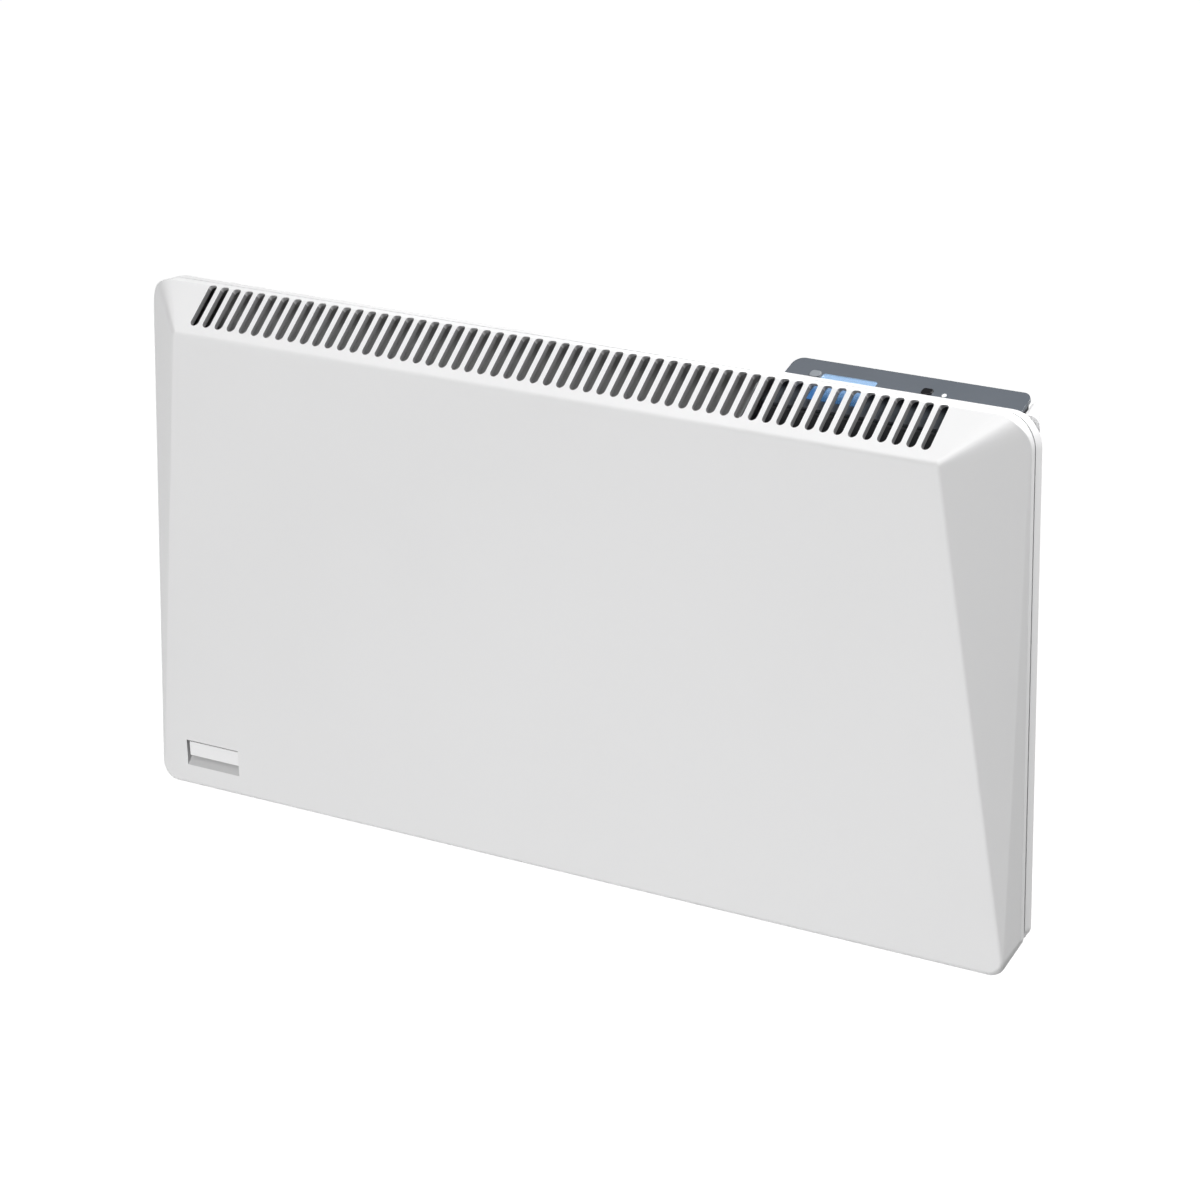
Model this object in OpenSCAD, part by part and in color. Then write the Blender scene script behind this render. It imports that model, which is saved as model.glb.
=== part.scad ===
/* [Panel] */
// Width of the heater
panel_w = 800; // [700:10:1000]
// Height of the heater without its control fascia
panel_h = 400; // [380:5:460]
// Radius of the panel's corners seen from the front
corner_r = 24; // [18:1:30]
// Height of the cut-off lower corners
foot_cut_h = 29; // [24:1:34]
// Width of the cut-off lower corners
foot_cut_w = 22; // [18:1:26]
// Radius at both ends of a cut-off corner
foot_cut_r = 8; // [6:0.5:10]
// Gap between the wall and the back of the casing
wall_gap = 22; // [21:0.5:30]

/* [Front cover] */
// Thickness of the cover's wall
cover_wall = 1.6; // [1.4:0.1:2.4]
// Depth of the straight rim along the top
rim_d = 9.5; // [7:0.5:14]
// Depth of the straight rim along the sides
side_rim_d = 4; // [3:0.5:7]
// Depth of the fold at the top, measured from the back of the casing
fold_d = 52; // [48:1:64]
// Depth of the foot, measured from the back of the casing
toe_d = 25.5; // [24.5:0.5:30]
// How far the fold lies in from each side
fold_side_in = 52; // [40:1:62]
// How far the fold lies below the top
fold_top_in = 33; // [28:1:40]
// Radius of the rounded fold
fold_r = 6; // [4:0.5:9]
// Radius of the rounded foot edge
toe_r = 4; // [3:0.5:5]
// How far the foot's corners lie in from the sides
toe_side_in = 6.6; // [4:0.2:9]
// Radius of the foot's corners
toe_corner_r = 15; // [11:1:20]
// Depth of the cover's tongue inside the casing
tongue_d = 6.5; // [6:0.5:7]
// Thickness of the tongue
tongue_t = 1.5; // [1:0.1:2]

/* [Outlet slots] */
// Room beside the first and the last slot
slot_side = 60; // [56:1:80]
// Distance between slots
slot_pitch = 12.1; // [11.2:0.1:12.1]
// Width of a slot
slot_w = 7.6; // [6:0.1:8]
// Distance from the fold to the slots' lower ends
slot_foot = 9; // [7:0.5:12]
// Distance from the slots' upper ends to the cover's back edge
slot_head = 1.4; // [1:0.1:4]
// Thickness of the slope where the slots go through
grille_t = 4; // [2.5:0.1:5]

/* [Badge] */
// Width of the recess
badge_w = 53; // [40:1:60]
// Height of the recess
badge_h = 20.5; // [18:0.5:26]
// Depth of the recess
badge_d = 5; // [3:0.5:7]
// Distance from the panel's side to the recess
badge_side = 35.5; // [32:0.5:60]
// Distance up the front from the panel's foot to the recess
badge_up = 16.5; // [14:0.5:40]
// Height of the plate in the recess
badge_plate_h = 11.5; // [8:0.5:14]
// Thickness of the plate
badge_plate_t = 4.3; // [2:0.1:6]

/* [Rear casing] */
// Depth of the casing
casing_d = 10.5; // [9.5:0.5:14]
// How much farther in the casing's lower corners are cut than the cover's
casing_cut_in = 6; // [4:0.5:8]
// Thickness of the casing's walls
casing_wall = 1.6; // [1.4:0.1:2.4]
// Thickness of the casing's back
back_t = 1.2; // [1:0.1:2]
// Width of the seam between casing and cover
seam_gap = 1.2; // [0.8:0.1:2]
// Bevel round the back edge
back_bevel = 2.5; // [1:0.5:4]
// Length of one inlet slot in the foot
inlet_l = 46; // [30:1:60]
// Width of one inlet slot in the foot
inlet_w = 5; // [3:0.5:6]
// Distance from the panel's side to the first inlet slot
inlet_end_in = 87; // [80:1:100]
// Inlet slots on each side of the middle
inlet_side_n = 5; // [3:1:5]
// Thickness of the inlet guard
guard_t = 0.8; // [0.6:0.1:1]

/* [Wall bracket] */
// Distance from the panel's top and foot to the ends of the uprights
upright_end = 60; // [55:1:70]
// Width of an upright
upright_w = 36; // [30:1:40]
// Thickness of the bracket's steel
bracket_t = 1.5; // [1.2:0.1:2]
// Distance from an upright's end to its screw
screw_end = 30; // [26:1:45]
// Width of a screw slot
screw_slot_w = 5.5; // [4.5:0.1:6]
// Length of a screw slot
screw_slot_l = 16; // [12:0.5:20]
// Height of a rail
rail_h = 20; // [15:1:30]
// Distance from the wall to the back of a rail
rail_off = 10; // [9:0.5:11]
// Distance from an upright's top to its hooks' seat
hook_drop = 5; // [3:0.5:8]
// Height of a hook's arm
hook_arm_h = 8; // [6:0.5:10]
// Height of a hook's tip above its seat
hook_tip_h = 9; // [7:0.5:10]
// Thickness of a hook's tip
hook_tip_t = 3; // [2.5:0.1:3.5]
// Upward travel that frees the heater
lift_travel = 11; // [11:0.5:12]
// Thickness of the rubber bumpers beside the steel
bumper_t = 2; // [1.5:0.1:2.5]
// Height of a bumper
bumper_h = 26; // [15:1:35]

/* [Heating element] */
// Room beyond each end of the element's brackets, for its terminals and leads
element_end = 38; // [36:1:50]
// Height of the fins
element_h = 64; // [50:1:70]
// Depth of the fins
element_d = 19; // [14:0.5:19]
// Middle of the element above the foot
element_up = 150; // [140:5:170]
// Radius of the sheathed rod
rod_r = 4; // [3.5:0.1:4.5]
// Thickness of one fin
fin_t = 1.1; // [0.9:0.1:1.3]
// Distance between the slits that let the fins grow
slit_pitch = 42; // [30:1:60]
// Thickness of the element brackets
ebracket_t = 1.2; // [1:0.1:1.5]
// Height of an element bracket
ebracket_h = 110; // [100:5:120]
// Thickness of the heat shield and the baffle
sheet_t = 0.7; // [0.6:0.1:1]
// Distance from the casing's back to the heat shield
shield_off = 4; // [3:0.5:4.5]
// Distance from the hanger plates down to the heat shield
shield_top_gap = 7; // [4:1:20]
// Height of the front baffle
baffle_h = 130; // [120:5:140]

/* [Controls] */
// Distance from the panel's right side to the fascia
fascia_side = 20; // [18:1:30]
// Width of the fascia
fascia_w = 198; // [190:1:200]
// Length of the fascia up its slope, behind the casing
fascia_rear = 20; // [18:0.5:21]
// Length of the fascia down its slope, inside the casing
fascia_front = 28.5; // [26:0.5:31]
// Angle of the fascia above level
fascia_tilt = 30; // [26:1:32]
// Depth of the fascia's face below the casing's top at its back edge
fascia_drop = 2.5; // [2.4:0.1:3.5]
// Thickness of the fascia
fascia_t = 2.5; // [2:0.1:3]
// Radius of the fascia's rear corners
fascia_r = 8; // [4:0.5:10]
// Width of the display window
lcd_w = 46; // [36:1:50]
// Length of the display window up the slope
lcd_l = 27; // [20:0.5:28]
// Distance from the fascia's left end to the display
lcd_in = 31; // [28:0.5:60]
// Width of a key
key_w = 8.5; // [7:0.1:10]
// Length of a key up the slope
key_l = 6; // [4:0.1:6]
// Height of a key above the fascia
key_rise = 1.2; // [0.8:0.1:1.6]
// Travel of a key
key_travel = 0.8; // [0.4:0.1:0.9]
// Depth of the control housing's front wall inside the casing
housing_front = 26; // [24:0.5:28]
// Depth of the housing behind the casing
housing_rear = 17; // [15:0.5:17.5]
// Height of the housing below the casing's top
housing_h = 92; // [88:1:96]
// Wall of the housing
housing_wall = 2; // [1.5:0.1:2.5]

/* [Supply] */
// Distance from the panel's right side to the cable gland
gland_side = 70; // [60:1:90]
// Height of the gland's seat above the foot
gland_up = 60; // [50:1:70]
// Radius of the gland's bore
gland_bore_r = 3.8; // [3:0.1:4.5]
// Length of the gland below its seat
gland_l = 14; // [10:0.5:16]
// Depth of the cable entry behind the casing
entry_d = 18; // [17:0.5:19]
// Height of the cable entry
entry_h = 34; // [30:1:38]

/* [Hidden] */
$fn = 48;
hull_fn = 32;

fit_gap = 0.3;      // air between pieces that only meet
slide_gap = 0.15;   // air round a key's stem
rod_fit = 0.05;     // air round the element's rod in its bushes
lift_play = 1.5;    // spare room under a hook's arm with the heater lifted
cut = 1;            // how far a cutting solid runs past a face

top_z = panel_h / 2;
foot_z = -panel_h / 2;
side_x = panel_w / 2;

// Y runs from the front, which is negative, to the wall at 0
back_y = -wall_gap;
inner_y = back_y - back_t;
casing_front_y = back_y - casing_d;
cover_back_y = casing_front_y - seam_gap;
rim_y = cover_back_y - rim_d;
side_rim_y = cover_back_y - side_rim_d;
fold_y = back_y - fold_d;
toe_y = back_y - toe_d;

// Faces of the cover as unit normals
front_rise = panel_h - fold_top_in;
front_lean = atan2(fold_d - toe_d, front_rise);
bevel_out = rim_y - fold_y;
side_lean = atan2(side_rim_y - fold_y, fold_side_in);
slope_l = norm([bevel_out, fold_top_in]);
slope_lean = atan2(fold_top_in, bevel_out);
front_n = [0, -cos(front_lean), -sin(front_lean)];
slope_n = [0, -sin(slope_lean), cos(slope_lean)];
side_n = [sin(side_lean), -cos(side_lean), 0];

// Middle of a ball of radius r that touches the three faces meeting at a fold corner
function ball_shift(r) =
    -r * (cross(front_n, slope_n) + cross(slope_n, side_n) + cross(side_n, front_n))
    / (front_n * cross(slope_n, side_n));
fold_ball = [side_x - fold_side_in, fold_y, top_z - fold_top_in] + ball_shift(fold_r);
toe_ring_y = toe_y + toe_r * (1 - sin(front_lean)) / cos(front_lean);
rim_inner_y = rim_y + cover_wall * (1 - cos(slope_lean)) / sin(slope_lean);
side_rim_inner_y = side_rim_y + cover_wall * (1 - sin(side_lean)) / cos(side_lean);

tongue_in = casing_wall + fit_gap;
inlet_end = side_x - inlet_end_in;
inlet_pitch = (inlet_end - inlet_l / 2) / inlet_side_n;
cover_screw_x = [-1, 1] * (side_x - 55);
cover_screw_y = casing_front_y + 3.4;

slot_end_y = cover_back_y - slot_head;
slot_deep = casing_wall + fit_gap + tongue_t + 0.6;
slot_n = floor((panel_w - 2 * slot_side) / slot_pitch);
grille_x = slot_n * slot_pitch / 2 + 3;

badge_x = -side_x + badge_side;
badge_back_t = 1.6;
badge_gap = 0.25;
badge_plate_w = badge_w - 2.5;
badge_plate_side = 2.3;
badge_plate_drop = 0.9;
badge_floor_h = badge_h - badge_plate_h - badge_plate_drop;

inlet_n = 2 * inlet_side_n + 1;
inlet_y = (inner_y + casing_front_y) / 2;
guard_side = 1.2;

upright_h = panel_h - 2 * upright_end;
screw_rise = upright_h - 2 * screw_end;
hook_seat = upright_h / 2 - hook_drop;
flange_d = wall_gap - 2;
rail_low_z = -upright_h / 2 + rail_h;
rail_top_z = rail_low_z + rail_h;
rail_y = -rail_off;
hanger_t = 1.2;
hanger_h = 42;
hanger_w = upright_w + 8;
hanger_low_z = hook_seat + 14 - hanger_h;
hook_in_y = inner_y - hanger_t - fit_gap;
hook_tip_y = hook_in_y - hook_tip_t;
hook_slot_w = bracket_t + 2.5;
hook_slot_low = hook_seat - hook_arm_h - lift_travel - lift_play;
hook_slot_top = hook_seat + fit_gap;

clip_t = 1.2;
clip_w = 24;
clip_foot = 22;
clip_finger = 9;
clip_arm_z = rail_top_z + 2.5;
clip_finger_y = rail_y + 1.2;
clip_hole_r = 1.7;

// Hot side
fascia_x0 = side_x - fascia_side - fascia_w;
fascia_x1 = side_x - fascia_side;
partition_t = 1;
partition_x = fascia_x0 - 8.5;
upright_x = partition_x - 1.5 - hanger_w / 2;
flange_x = [for (s = [-1, 1], f = [-1, 1]) s * upright_x + f * (upright_w - bracket_t) / 2];
clip_x = upright_x - 45;
ebracket_flange = 14;
element_left_x = -side_x + 26 + element_end;
element_right_x = partition_x + 0.5 - element_end;
element_mid_x = (element_left_x + element_right_x) / 2;
ebracket_x = (element_right_x - element_left_x) / 2;
element_l = 2 * ebracket_x - 10;
element_z = foot_z + element_up;
shield_y = inner_y - shield_off;
shield_front_y = shield_y - sheet_t;
element_y = shield_front_y - 2.2 - element_d / 2;
baffle_y = element_y - element_d / 2 - 1.6;
shield_low_z = element_z - 80;
shield_lip = 8;
shield_high_z = hanger_low_z - shield_top_gap - shield_lip;
shield_w = 2 * ebracket_x - ebracket_t - 4;
baffle_low_z = element_z - 52;
boss_r = rod_r + 1.6;
bush_r = 7;
bush_flange_r = 9;
bush_flange_t = 2;
bush_l = 9;
rod_out = 18;
screw_r = 1.5;
head_r = 3;
head_t = 1.8;
cutout_x = element_mid_x + ebracket_x - 60;
cutout_z = element_z + element_h / 2 + 36;
lead_hole_r = 4;
lead_hole_y = shield_front_y - 9.5;
lead_hole_z = cutout_z + 26;

// Controls
housing_x0 = fascia_x0 + 0.5;
housing_x1 = fascia_x1 - 0.5;
housing_low_z = top_z - housing_h;
housing_rear_y = back_y + housing_rear;
housing_front_y = back_y - housing_front;
housing_flange = 7.5;
housing_flange_t = 2;
flange_top_z = top_z - casing_wall - 26;
opening_gap = 0.4;
fascia_z = top_z - fascia_drop;
lcd_x = fascia_x0 + lcd_in + lcd_w / 2;
lcd_top = 7.3;
lcd_y = lcd_top - lcd_l / 2;
lcd_frame = 2;
lcd_glass_t = 1;
lcd_module_t = 3.2;
mode_key_x = lcd_x - lcd_w / 2 - 1.6 - key_w / 2;
select_key_x = lcd_x + lcd_w / 2 + 42;
lamp_x = select_key_x + 14.5;
key_y = 2.3 + key_l / 2;
key_r = 2.2;
key_flange = 1;
key_flange_t = 0.8;
key_stem_l = 1.6;
lamp_r = 1.8;
lamp_y = 4.4;
lens_rise = 0.4;
pad_drop = fascia_t + 5.6;
board_t = 1.6;
switch_h = pad_drop - fascia_t - key_flange_t - key_stem_l - key_travel - fit_gap - 0.2;
main_board_y = back_y - 2;
main_board_w = 150;
main_board_h = 62;
main_board_x = (housing_x0 + housing_x1) / 2;
main_board_z = housing_low_z + housing_wall + 6 + main_board_h / 2;
post_r = 3;
housing_hole_x = [housing_x0 + 30, housing_x0 + 44, housing_x0 + 58, housing_x1 - 30];
housing_hole_y = housing_front_y + 10;

// Supply side
gland_x = side_x - gland_side;
gland_z = foot_z + gland_up;
gland_y = back_y + entry_d / 2;
gland_r = 8;
gland_thread_r = 6;
gland_nut_t = 3.5;
entry_w = 34;
entry_wall = 2;
entry_in = 5;
block_x = gland_x;
block_z = gland_z + 70;
block_w = 38;
block_h = 18;
block_d = 15;
pole_n = 3;
pole_pitch = 11;
earth_x = gland_x - 42;
earth_z = gland_z + 30;
clamp_z = gland_z + entry_h + 10;
clamp_w = 26;
clamp_t = 3;
clamp_off = 7;
sensor_x = side_x - 34;
sensor_z = foot_z + casing_wall + 14;
wire_r = 1.3;
lead_r = 1.1;

// ---------- shared shapes ----------

module rounded_rect(w, h, r) {
    square([w - 2 * r, h], center = true);
    square([w, h - 2 * r], center = true);
    for (x = [-1, 1], z = [-1, 1])
        translate([x * (w / 2 - r), z * (h / 2 - r)]) circle(r);
}

// Panel outline with rounded upper corners and cut-off lower corners
module panel_outline(inset, more) {
    r = foot_cut_r - inset;
    top = [side_x - corner_r, top_z - corner_r];
    high = [side_x - foot_cut_r, foot_z + foot_cut_h + more];
    low = [side_x - foot_cut_w - more, foot_z + foot_cut_r];
    across = [high[1] - low[1], low[0] - high[0]];
    out = across / norm(across) * r;
    edge = [top + [0, corner_r - inset], top + [corner_r - inset, 0], high + [r, 0],
        high + out, low + out, low - [0, r]];
    polygon([each edge, each [for (i = [5 : -1 : 0]) [-edge[i][0], edge[i][1]]]]);
    for (s = [-1, 1]) {
        translate([s * top[0], top[1]]) circle(corner_r - inset);
        for (p = [high, low]) translate([s * p[0], p[1]]) circle(r);
    }
}

// Panel outline as a plate between two depths
module panel_plate(y_back, y_front, inset = 0, more = 0) {
    translate([0, y_back, 0]) rotate([90, 0, 0]) linear_extrude(y_back - y_front)
        panel_outline(inset, more);
}

module casing_plate(y_back, y_front, inset = 0) {
    panel_plate(y_back, y_front, inset, casing_cut_in);
}

// Block given by its lowest and highest corners
module block(low, high) {
    translate(low) cube(high - low);
}

// Solid round bar along X, Y or Z
module bar_x(r, l) { rotate([0, 90, 0]) cylinder(r = r, h = l); }
module bar_y(r, l) { rotate([90, 0, 0]) cylinder(r = r, h = l); }

// Shape drawn in Y and Z, given a width along X from x
module profile_x(x, w) {
    translate([x, 0, 0]) rotate([90, 0, 90]) linear_extrude(w) children();
}

// Pan-head screw whose head stands towards the front, shank towards the wall
module screw_y(l) {
    bar_y(head_r, head_t);
    translate([0, l, 0]) bar_y(screw_r, l);
}

// Wire through a list of points
module wire(points, r) {
    for (i = [0 : len(points) - 2]) {
        d = points[i + 1] - points[i];
        translate(points[i])
            rotate([0, acos(d[2] / norm(d)), atan2(d[1], d[0])])
            cylinder(r = r, h = norm(d), $fn = 16);
        if (i > 0) translate(points[i]) sphere(r * 1.08, $fn = 16);
    }
}

// Frame of the fascia: y runs up its slope from under the casing's back edge, z out of its face
module on_fascia() {
    translate([0, back_y, fascia_z]) rotate([fascia_tilt, 0, 0]) children();
}

// Frame of the front face: x across, z up the face from its foot, y into the cover
module on_front() {
    translate([0, toe_y, foot_z]) rotate([front_lean, 0, 0]) children();
}

// Frame of the outlet slope: z up the slope from the fold, y into the cover
module on_slope() {
    translate([0, fold_y, top_z - fold_top_in]) rotate([slope_lean - 90, 0, 0]) children();
}

// ---------- wall bracket ----------

module upright(x) {
    difference() {
        block([x - upright_w / 2, -bracket_t, -upright_h / 2], [x + upright_w / 2, 0, upright_h / 2]);
        for (z = [-1, 1] * screw_rise / 2) translate([x, cut, z]) rotate([90, 0, 0])
            linear_extrude(bracket_t + 2 * cut) {
                square([screw_slot_l - screw_slot_w, screw_slot_w], center = true);
                for (s = [-1, 1]) translate([s * (screw_slot_l - screw_slot_w) / 2, 0])
                    circle(screw_slot_w / 2);
            }
    }
}

module hook_flange(x) {
    low_z = -upright_h / 2;
    tip_in = hook_tip_t / 3;
    profile_x(x - bracket_t / 2, bracket_t) polygon([
        [0, low_z], [0, upright_h / 2], [-flange_d / 2, upright_h / 2],
        [-flange_d, upright_h / 2 - flange_d / 2], [-flange_d, hook_seat],
        [hook_in_y, hook_seat], [hook_in_y, hook_seat + hook_tip_h - tip_in],
        [hook_in_y - tip_in, hook_seat + hook_tip_h], [hook_tip_y + tip_in, hook_seat + hook_tip_h],
        [hook_tip_y, hook_seat + hook_tip_h - tip_in], [hook_tip_y, hook_seat - hook_arm_h / 2],
        [hook_tip_y + hook_tip_t, hook_seat - hook_arm_h], [-flange_d, hook_seat - hook_arm_h],
        [-flange_d, low_z + flange_d / 2], [-flange_d / 2, low_z]
    ]);
}

module wall_bracket() {
    color("gainsboro") {
        for (x = [-1, 1] * upright_x) upright(x);
        for (x = flange_x) hook_flange(x);
        for (z = [rail_low_z, upright_h / 2 - 4 * rail_h])
            block([-upright_x - upright_w / 2 + bracket_t / 2, rail_y - bracket_t, z],
                [upright_x + upright_w / 2 - bracket_t / 2, rail_y, z + rail_h]);
    }
}

// Rubber caps on the flanges' lower front edges
module bracket_bumpers() {
    z = rail_top_z + 6;
    color("dimgray") for (x = flange_x) difference() {
        block([x - bracket_t / 2 - bumper_t, back_y + fit_gap, z],
            [x + bracket_t / 2 + bumper_t, -flange_d + 6, z + bumper_h]);
        block([x - bracket_t / 2, -flange_d, z - cut],
            [x + bracket_t / 2, -flange_d + 6 + cut, z + bumper_h + cut]);
    }
}

// ---------- casing ----------

module casing_shell() {
    difference() {
        hull() {
            casing_plate(back_y - back_bevel, casing_front_y);
            casing_plate(back_y, back_y - fit_gap, back_bevel);
        }
        casing_plate(inner_y, casing_front_y - cut, casing_wall);
    }
}

module inlet_slots(y, z, depth) {
    for (i = [-inlet_side_n : inlet_side_n]) translate([i * inlet_pitch, y, z])
        linear_extrude(depth) {
            square([inlet_l - inlet_w, inlet_w], center = true);
            for (s = [-1, 1]) translate([s * (inlet_l - inlet_w) / 2, 0]) circle(inlet_w / 2);
        }
}

module rear_casing() {
    color("white") difference() {
        casing_shell();
        for (x = flange_x)
            block([x - hook_slot_w / 2, inner_y - cut, hook_slot_low],
                [x + hook_slot_w / 2, back_y + cut, hook_slot_top]);
        block([fascia_x0 - opening_gap, inner_y - cut, housing_low_z - opening_gap],
            [fascia_x1 + opening_gap, back_y + cut, top_z - casing_wall]);
        block([gland_x - entry_w / 2 + entry_in, inner_y - cut, gland_z + entry_in],
            [gland_x + entry_w / 2 - entry_in, back_y + cut, gland_z + entry_h - entry_in]);
        inlet_slots(inlet_y, foot_z - cut, casing_wall + 2 * cut);
        for (x = cover_screw_x) translate([x, cover_screw_y, foot_z - cut]) {
            cylinder(r = screw_r + slide_gap, h = casing_wall + 2 * cut);
            cylinder(r = head_r + slide_gap, h = casing_wall / 2 + cut);
        }
    }
}

module cover_screws() {
    color("silver") for (x = cover_screw_x) translate([x, cover_screw_y, foot_z]) {
        cylinder(r = head_r, h = casing_wall / 2);
        cylinder(r = screw_r, h = casing_wall + tongue_t + 3);
    }
}

module inlet_guard() {
    z = foot_z + casing_wall;
    y0 = inner_y - guard_side;
    y1 = casing_front_y + guard_side;
    x = inlet_end + 2;
    hole_w = 3.4;
    hole_n = 8;
    hole_pitch = inlet_l / hole_n;
    color("gray") difference() {
        block([-x, y1, z], [x, y0, z + guard_t]);
        for (i = [-inlet_side_n : inlet_side_n], k = [0 : hole_n - 1])
            translate([i * inlet_pitch + (k - (hole_n - 1) / 2) * hole_pitch - hole_w / 2,
                inlet_y - inlet_w / 2, z - cut])
                cube([hole_w, inlet_w, guard_t + 2 * cut]);
    }
}

// ---------- cover ----------

module cover_form(wall) {
    hull() {
        if (wall == 0) panel_plate(cover_back_y, side_rim_y);
        else panel_plate(cover_back_y + cut, side_rim_inner_y, wall);
        block([corner_r - side_x, wall == 0 ? rim_y : rim_inner_y, top_z - wall - cut],
            [side_x - corner_r, cover_back_y, top_z - wall]);
        for (s = [-1, 1]) {
            translate([s * fold_ball[0], fold_ball[1], fold_ball[2]])
                sphere(fold_r - wall, $fn = hull_fn);
            translate([s * (side_x - toe_corner_r - toe_side_in), toe_ring_y, foot_z + toe_corner_r])
                rotate([90, 0, 0]) rotate_extrude($fn = hull_fn)
                translate([toe_corner_r - toe_r, 0]) circle(toe_r - wall, $fn = hull_fn);
        }
    }
}

// Slots up the slope and over its upper edge
module outlet_slots() {
    deep = grille_t * 2;
    for (i = [0 : slot_n - 1]) translate([(i - (slot_n - 1) / 2) * slot_pitch, 0, 0]) {
        on_slope() translate([0, deep, slot_foot + slot_w / 2]) rotate([90, 0, 0])
            linear_extrude(2 * deep) {
                translate([-slot_w / 2, 0]) square([slot_w, slope_l - slot_foot - slot_w / 2]);
                circle(slot_w / 2);
            }
        translate([0, slot_end_y - slot_w / 2, top_z - slot_deep]) linear_extrude(slot_deep + cut) {
            translate([-slot_w / 2, rim_y - slot_end_y + slot_w / 2 - cut])
                square([slot_w, slot_end_y - slot_w / 2 - rim_y + cut]);
            circle(slot_w / 2);
        }
    }
}

// The recess: square behind the plate, with a floor that slopes out below it
module badge_recess() {
    profile_x(badge_x, badge_w) polygon([
        [-cut, 0], [0, 0], [badge_d, badge_floor_h * 0.8], [badge_d, badge_h], [-cut, badge_h]
    ]);
}

module front_cover() {
    color("white") difference() {
        union() {
            difference() {
                union() {
                    difference() {
                        cover_form(0);
                        cover_form(cover_wall);
                    }
                    intersection() {
                        cover_form(0);
                        on_slope() block([-grille_x, 0, slot_foot - 4], [grille_x, grille_t, slope_l]);
                    }
                    cover_tongue();
                }
                outlet_slots();
            }
            intersection() {
                cover_form(0);
                on_front() block([badge_x - badge_back_t, 0, badge_up - badge_back_t],
                    [badge_x + badge_w + badge_back_t, badge_d + badge_back_t,
                    badge_up + badge_h + badge_back_t]);
            }
        }
        on_front() translate([0, 0, badge_up]) badge_recess();
        for (x = cover_screw_x) translate([x, cover_screw_y, foot_z - cut])
            cylinder(r = screw_r + rod_fit, h = casing_wall + tongue_t + 2 * cut + 3);
    }
}

// Lip that reaches into the casing, left out over the inlet slots
module cover_tongue() {
    low = foot_z + tongue_in + tongue_t;
    difference() {
        union() {
            casing_plate(casing_front_y + tongue_d, side_rim_inner_y, tongue_in);
            panel_plate(cover_back_y - 1, side_rim_inner_y, cover_wall / 2);
        }
        casing_plate(casing_front_y + tongue_d + cut, side_rim_inner_y - cut, tongue_in + tongue_t);
        block([-inlet_end - 4, cover_back_y + 2, foot_z],
            [inlet_end + 4, casing_front_y + tongue_d + cut, low + cut]);
    }
    for (x = cover_screw_x)
        block([x - 5, side_rim_inner_y, low - tongue_t], [x + 5, casing_front_y + tongue_d, low + 4]);
}

module badge_plate() {
    color("whitesmoke") on_front()
        translate([badge_x + badge_plate_side, badge_d - badge_plate_t,
            badge_up + badge_h - badge_plate_drop - badge_plate_h])
        cube([badge_plate_w, badge_plate_t, badge_plate_h]);
}

// ---------- hanging parts ----------

module hanger_plates() {
    color("silver") for (x = [-1, 1] * upright_x) difference() {
        block([x - hanger_w / 2, inner_y - hanger_t, hanger_low_z],
            [x + hanger_w / 2, inner_y, hanger_low_z + hanger_h]);
        for (f = [-1, 1] * (upright_w - bracket_t) / 2)
            block([x + f - hook_slot_w / 2, inner_y - hanger_t - cut, hook_slot_low],
                [x + f + hook_slot_w / 2, inner_y + cut, hook_slot_top]);
    }
}

module retaining_clips() {
    color("silver") for (x = [-1, 1] * clip_x) difference() {
        profile_x(x - clip_w / 2, clip_w) polygon([
            [back_y, clip_arm_z], [back_y, clip_arm_z + clip_foot], [back_y + clip_t, clip_arm_z + clip_foot],
            [back_y + clip_t, clip_arm_z + clip_t], [clip_finger_y + clip_t, clip_arm_z + clip_t],
            [clip_finger_y + clip_t, clip_arm_z - clip_finger], [clip_finger_y, clip_arm_z - clip_finger],
            [clip_finger_y, clip_arm_z]
        ]);
        for (s = [-1, 1]) translate([x + s * clip_w / 4, back_y + clip_t + cut, clip_arm_z + clip_foot / 2])
            bar_y(clip_hole_r, clip_t + 2 * cut);
    }
}

module clip_rivets() {
    color("silver") for (x = [-1, 1] * clip_x, s = [-1, 1])
        translate([x + s * clip_w / 4, back_y + clip_t, clip_arm_z + clip_foot / 2]) {
            translate([0, 0.9, 0]) bar_y(clip_hole_r * 1.7, 0.9);
            bar_y(clip_hole_r, clip_t);
        }
}

// ---------- hot side ----------

module heat_shield() {
    high_z = shield_high_z;
    lip = shield_lip;
    color("lightgray") profile_x(element_mid_x - shield_w / 2, shield_w) polygon([
        [inner_y, shield_low_z - lip], [inner_y - sheet_t, shield_low_z - lip],
        [inner_y - sheet_t, shield_low_z - sheet_t], [shield_front_y, shield_low_z - sheet_t],
        [shield_front_y, high_z + sheet_t], [inner_y - sheet_t, high_z + sheet_t],
        [inner_y - sheet_t, high_z + lip], [inner_y, high_z + lip],
        [inner_y, high_z], [shield_y, high_z], [shield_y, shield_low_z], [inner_y, shield_low_z]
    ]);
}

module front_baffle() {
    color("lightgray") block([element_mid_x - ebracket_x - ebracket_flange, baffle_y - sheet_t, baffle_low_z],
        [element_mid_x + ebracket_x + ebracket_flange, baffle_y, baffle_low_z + baffle_h]);
}

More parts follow.
